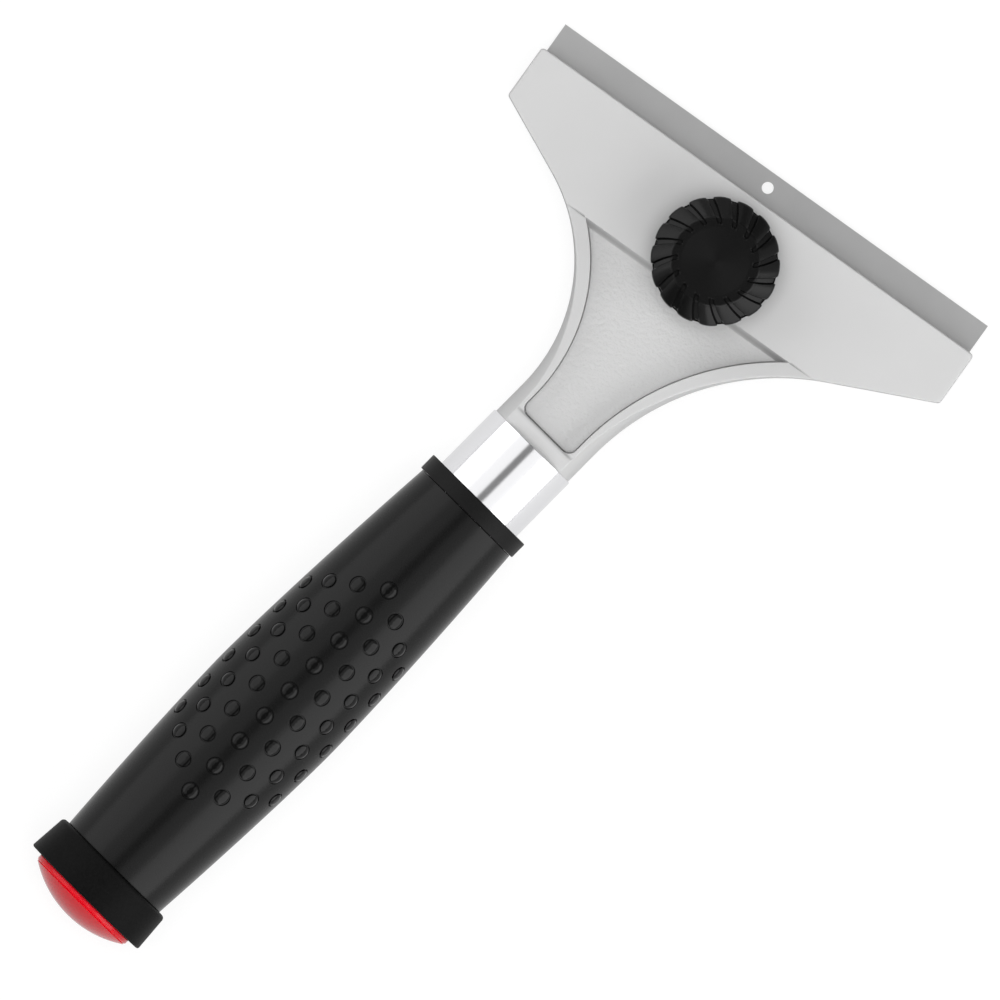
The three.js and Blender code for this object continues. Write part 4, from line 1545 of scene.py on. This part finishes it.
@dataclass
class Studio:
    """Pale floor, long soft lamps on each side of the handle, a lamp and a dark arch over it, and the camera.

    On each side, an inner and an outer lamp give only reflections, and a third lights only matt surfaces, as
    the top lamp does. The arch shows only in reflections: it gives the dark line along the tube and the grip.
    """

    centre: tuple[float, float, float] = (-7.0, -61.4, 10.0)
    image_turn: float = 35.55
    image_width: float = 192.5
    camera_height: float = 8000.0
    sensor: float = 36.0
    floor_radius: float = 6000.0
    floor_rings: int = 23
    floor_low: float = -0.2
    floor_colour: str = "#808080"
    floor_glow: float = 0.82
    floor_mirrored: float = 0.6
    fill: float = 0.18
    mirrored: float = 0.6
    lamp_distance: float = 480.0
    matt_distance: float = 440.0
    lamp_ends: tuple[float, float] = (-340.0, 560.0)
    matt_ends: tuple[float, float] = (-340.0, 340.0)
    inner_lamp: tuple[float, float] = (7.5, 37.0)
    outer_lamp: tuple[float, float] = (37.0, 86.0)
    inner_level: float = 0.46
    left_level: float = 1.15
    right_level: float = 1.95
    left_matt_level: float = 1.3
    right_matt_level: float = 2.0
    top_height: float = 1200.0
    top_size: float = 800.0
    top_level: float = 4.2
    arch_radius: float = 900.0
    arch_half_width: float = 130.0
    arch_foot_width: float = 350.0
    arch_flare: int = 4
    arch_middle: float = 60.0
    arch_rows: int = 49
    arch_columns: int = 9
    arch_level: float = 0.22

    def build(self) -> None:
        """Make the floor, the world, the arch, the lamps and the camera."""
        self.floor()
        self.world()
        self.arch()
        far = (self.lamp_distance, self.lamp_ends)
        near = (self.matt_distance, self.matt_ends)
        for side, level, matt_level in (
            (Side.LEFT, self.left_level, self.left_matt_level),
            (Side.RIGHT, self.right_level, self.right_matt_level),
        ):
            name = side.name.lower()
            inner = self.lamp(f"{name}_inner_softbox", side, self.inner_lamp, self.inner_level, *far)
            outer = self.lamp(f"{name}_outer_softbox", side, self.outer_lamp, level, *far)
            matt = self.lamp(f"{name}_matt_softbox", side, self.outer_lamp, matt_level, *near)
            inner.visible_diffuse = False
            outer.visible_diffuse = False
            matt.visible_glossy = False
        self.top_lamp()
        self.camera()
        bpy.context.scene.view_settings.view_transform = "Standard"

    def level_by_ray(self, tree: Tree, seen: float, mirrored: float, lit: float) -> Socket:
        """A level that depends on whether the camera, a reflection or a matt surface takes it up.

        Args:
            tree: The node tree.
            seen: Level for what the camera sees straight on.
            mirrored: Level for reflections.
            lit: Level for light that falls on matt surfaces.

        Returns:
            The level's socket.
        """
        path = add_node(tree, "ShaderNodeLightPath", {}).outputs
        ends = {"Value": path["Is Glossy Ray"], "To Min": lit, "To Max": mirrored}
        level = add_node(tree, "ShaderNodeMapRange", ends).outputs["Result"]
        ends = {"Value": path["Is Camera Ray"], "To Min": level, "To Max": seen}
        return add_node(tree, "ShaderNodeMapRange", ends).outputs["Result"]

    def dull(self, name: str, colour: str) -> Material:
        """A material without gloss that can glow white.

        Args:
            name: The material's name.
            colour: Its colour.

        Returns:
            The material.
        """
        material = bpy.data.materials.new(name)
        material.use_nodes = True
        inputs = material.node_tree.nodes["Principled BSDF"].inputs
        inputs["Base Color"].default_value = linear(colour)
        inputs["Roughness"].default_value = 1.0
        inputs["Specular IOR Level"].default_value = 0.0
        inputs["Emission Color"].default_value = linear("#ffffff")
        return material

    def floor(self) -> None:
        """A round sheet in rings that takes the shadow, with a glow that lifts it to white for the camera."""
        radius = np.linspace(0.0, 1.0, self.floor_rings + 1)[1:, None] ** 2 * self.floor_radius
        solid = lofted(turned(BOLT_AXIS, radius, self.floor_low, around(ROUND_COLUMNS)))
        material = self.dull("pale_paper_floor", self.floor_colour)
        tree = material.node_tree
        glow = self.level_by_ray(tree, self.floor_glow, self.floor_mirrored, 0.0)
        tree.links.new(glow, tree.nodes["Principled BSDF"].inputs["Emission Strength"])
        self.sheet("paper_floor", solid.points, solid.quads.tolist() + solid.ends[:1], material)

    def world(self) -> None:
        """White to the camera, and a dim even fill to reflections and matt surfaces."""
        world = bpy.data.worlds.new("studio_world")
        bpy.context.scene.world = world
        world.use_nodes = True
        tree = world.node_tree
        background = tree.nodes["Background"]
        background.inputs["Color"].default_value = linear("#ffffff")
        level = self.level_by_ray(tree, 1.0, self.mirrored, self.fill)
        tree.links.new(level, background.inputs["Strength"])

    def arch(self) -> None:
        """A half circle from the floor in front of the handle to the floor behind it, wider at its feet."""
        axis = HANDLE.axis()
        lift = np.linspace(-0.5, 0.5, self.arch_rows)[:, None] * np.pi
        side = np.linspace(-1.0, 1.0, self.arch_columns)
        flare = (self.arch_foot_width - self.arch_half_width) * np.sin(lift) ** self.arch_flare
        along = self.arch_radius * np.sin(lift) + self.arch_middle
        points = axis.place(along, (self.arch_half_width + flare) * side, self.arch_radius * np.cos(lift))
        index = np.arange(points[..., 0].size).reshape(points.shape[:2])
        quads = np.stack([index[:-1, :-1], index[:-1, 1:], index[1:, 1:], index[1:, :-1]], axis=-1)
        material = self.dull("black_felt_arch", "#000000")
        shader = material.node_tree.nodes["Principled BSDF"]
        shader.inputs["Emission Strength"].default_value = self.arch_level
        arch = self.sheet("dark_arch", points.reshape(-1, 3), quads.reshape(-1, 4).tolist(), material)
        arch.visible_camera = False
        arch.visible_diffuse = False
        arch.visible_shadow = False

    def sheet(self, name: str, points: Array, faces: list[list[int]], material: Material) -> bpy.types.Object:
        """A sheet of the stage.

        Args:
            name: The object's name.
            points: Its points, in millimetres.
            faces: Its faces.
            material: Its material.

        Returns:
            The object.
        """
        mesh = bpy.data.meshes.new(name)
        mesh.from_pydata((points * MM).tolist(), [], faces)
        mesh.materials.append(material)
        sheet = bpy.data.objects.new(name, mesh)
        bpy.context.scene.collection.objects.link(sheet)
        return sheet

    def lamp(
        self,
        name: str,
        side: Side,
        span: tuple[float, float],
        level: float,
        distance: float,
        ends: tuple[float, float],
    ) -> bpy.types.Object:
        """A long lamp beside the handle, facing its axis.

        Args:
            name: The lamp's name.
            side: The side of the handle on which it stands.
            span: Angles from upright between which it is seen from the middle.
            level: Its radiance, where a white sheet lit from all round at a level of one looks white.
            distance: How far it stands from the middle of the picture, in millimetres.
            ends: Where it begins and ends along the handle, counted from the middle of the picture.

        Returns:
            The lamp.
        """
        axis = HANDLE.axis()
        tilt = math.radians(sum(span) / 2.0)
        target = Vector(self.centre) * MM
        out = Vector(axis.right) * side.value * math.sin(tilt) + Vector(axis.up) * math.cos(tilt)
        light = bpy.data.lights.new(name, "AREA")
        light.shape = "RECTANGLE"
        light.size = 2.0 * math.tan(math.radians(span[1] - span[0]) / 2.0) * distance * MM
        light.size_y = (ends[1] - ends[0]) * MM
        light.energy = level * math.pi * light.size * light.size_y
        lamp = bpy.data.objects.new(name, light)
        length_way = Vector(axis.along)
        turn = Matrix((length_way.cross(out), length_way, out)).transposed().to_4x4()
        place = target + (out * distance + length_way * sum(ends) / 2.0) * MM
        lamp.matrix_world = Matrix.Translation(place) @ turn
        lamp.visible_camera = False
        bpy.context.scene.collection.objects.link(lamp)
        return lamp

    def top_lamp(self) -> None:
        """A square lamp straight above that lights matt surfaces and doesn't show in reflections."""
        light = bpy.data.lights.new("top_softbox", "AREA")
        light.size = self.top_size * MM
        light.energy = self.top_level * math.pi * light.size**2
        lamp = bpy.data.objects.new("top_softbox", light)
        lamp.location = Vector((self.centre[0], self.centre[1], self.top_height)) * MM
        lamp.visible_camera = False
        lamp.visible_glossy = False
        bpy.context.scene.collection.objects.link(lamp)

    def camera(self) -> None:
        """A long lens straight above the middle of the picture, turned so that the blade lies across it."""
        lens = bpy.data.cameras.new("camera")
        lens.sensor_width = self.sensor
        lens.lens = self.sensor * (self.camera_height - self.centre[2]) / self.image_width
        camera = bpy.data.objects.new("camera", lens)
        camera.location = Vector((self.centre[0], self.centre[1], self.camera_height)) * MM
        camera.rotation_euler = (0.0, 0.0, math.radians(self.image_turn))
        bpy.context.scene.collection.objects.link(camera)
        bpy.context.scene.camera = camera


def main() -> None:
    """Build the scraper's pieces in order, then the studio."""
    logging.basicConfig(level=logging.INFO, format="%(name)s: %(message)s")
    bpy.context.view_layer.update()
    CastHead().build()
    BladeClamp().build()
    dress_node("blade", GROUND_STEEL)
    ClampKnob().build()
    TubeHandle().build()
    Studio().build()


if __name__ == "__main__":
    main()
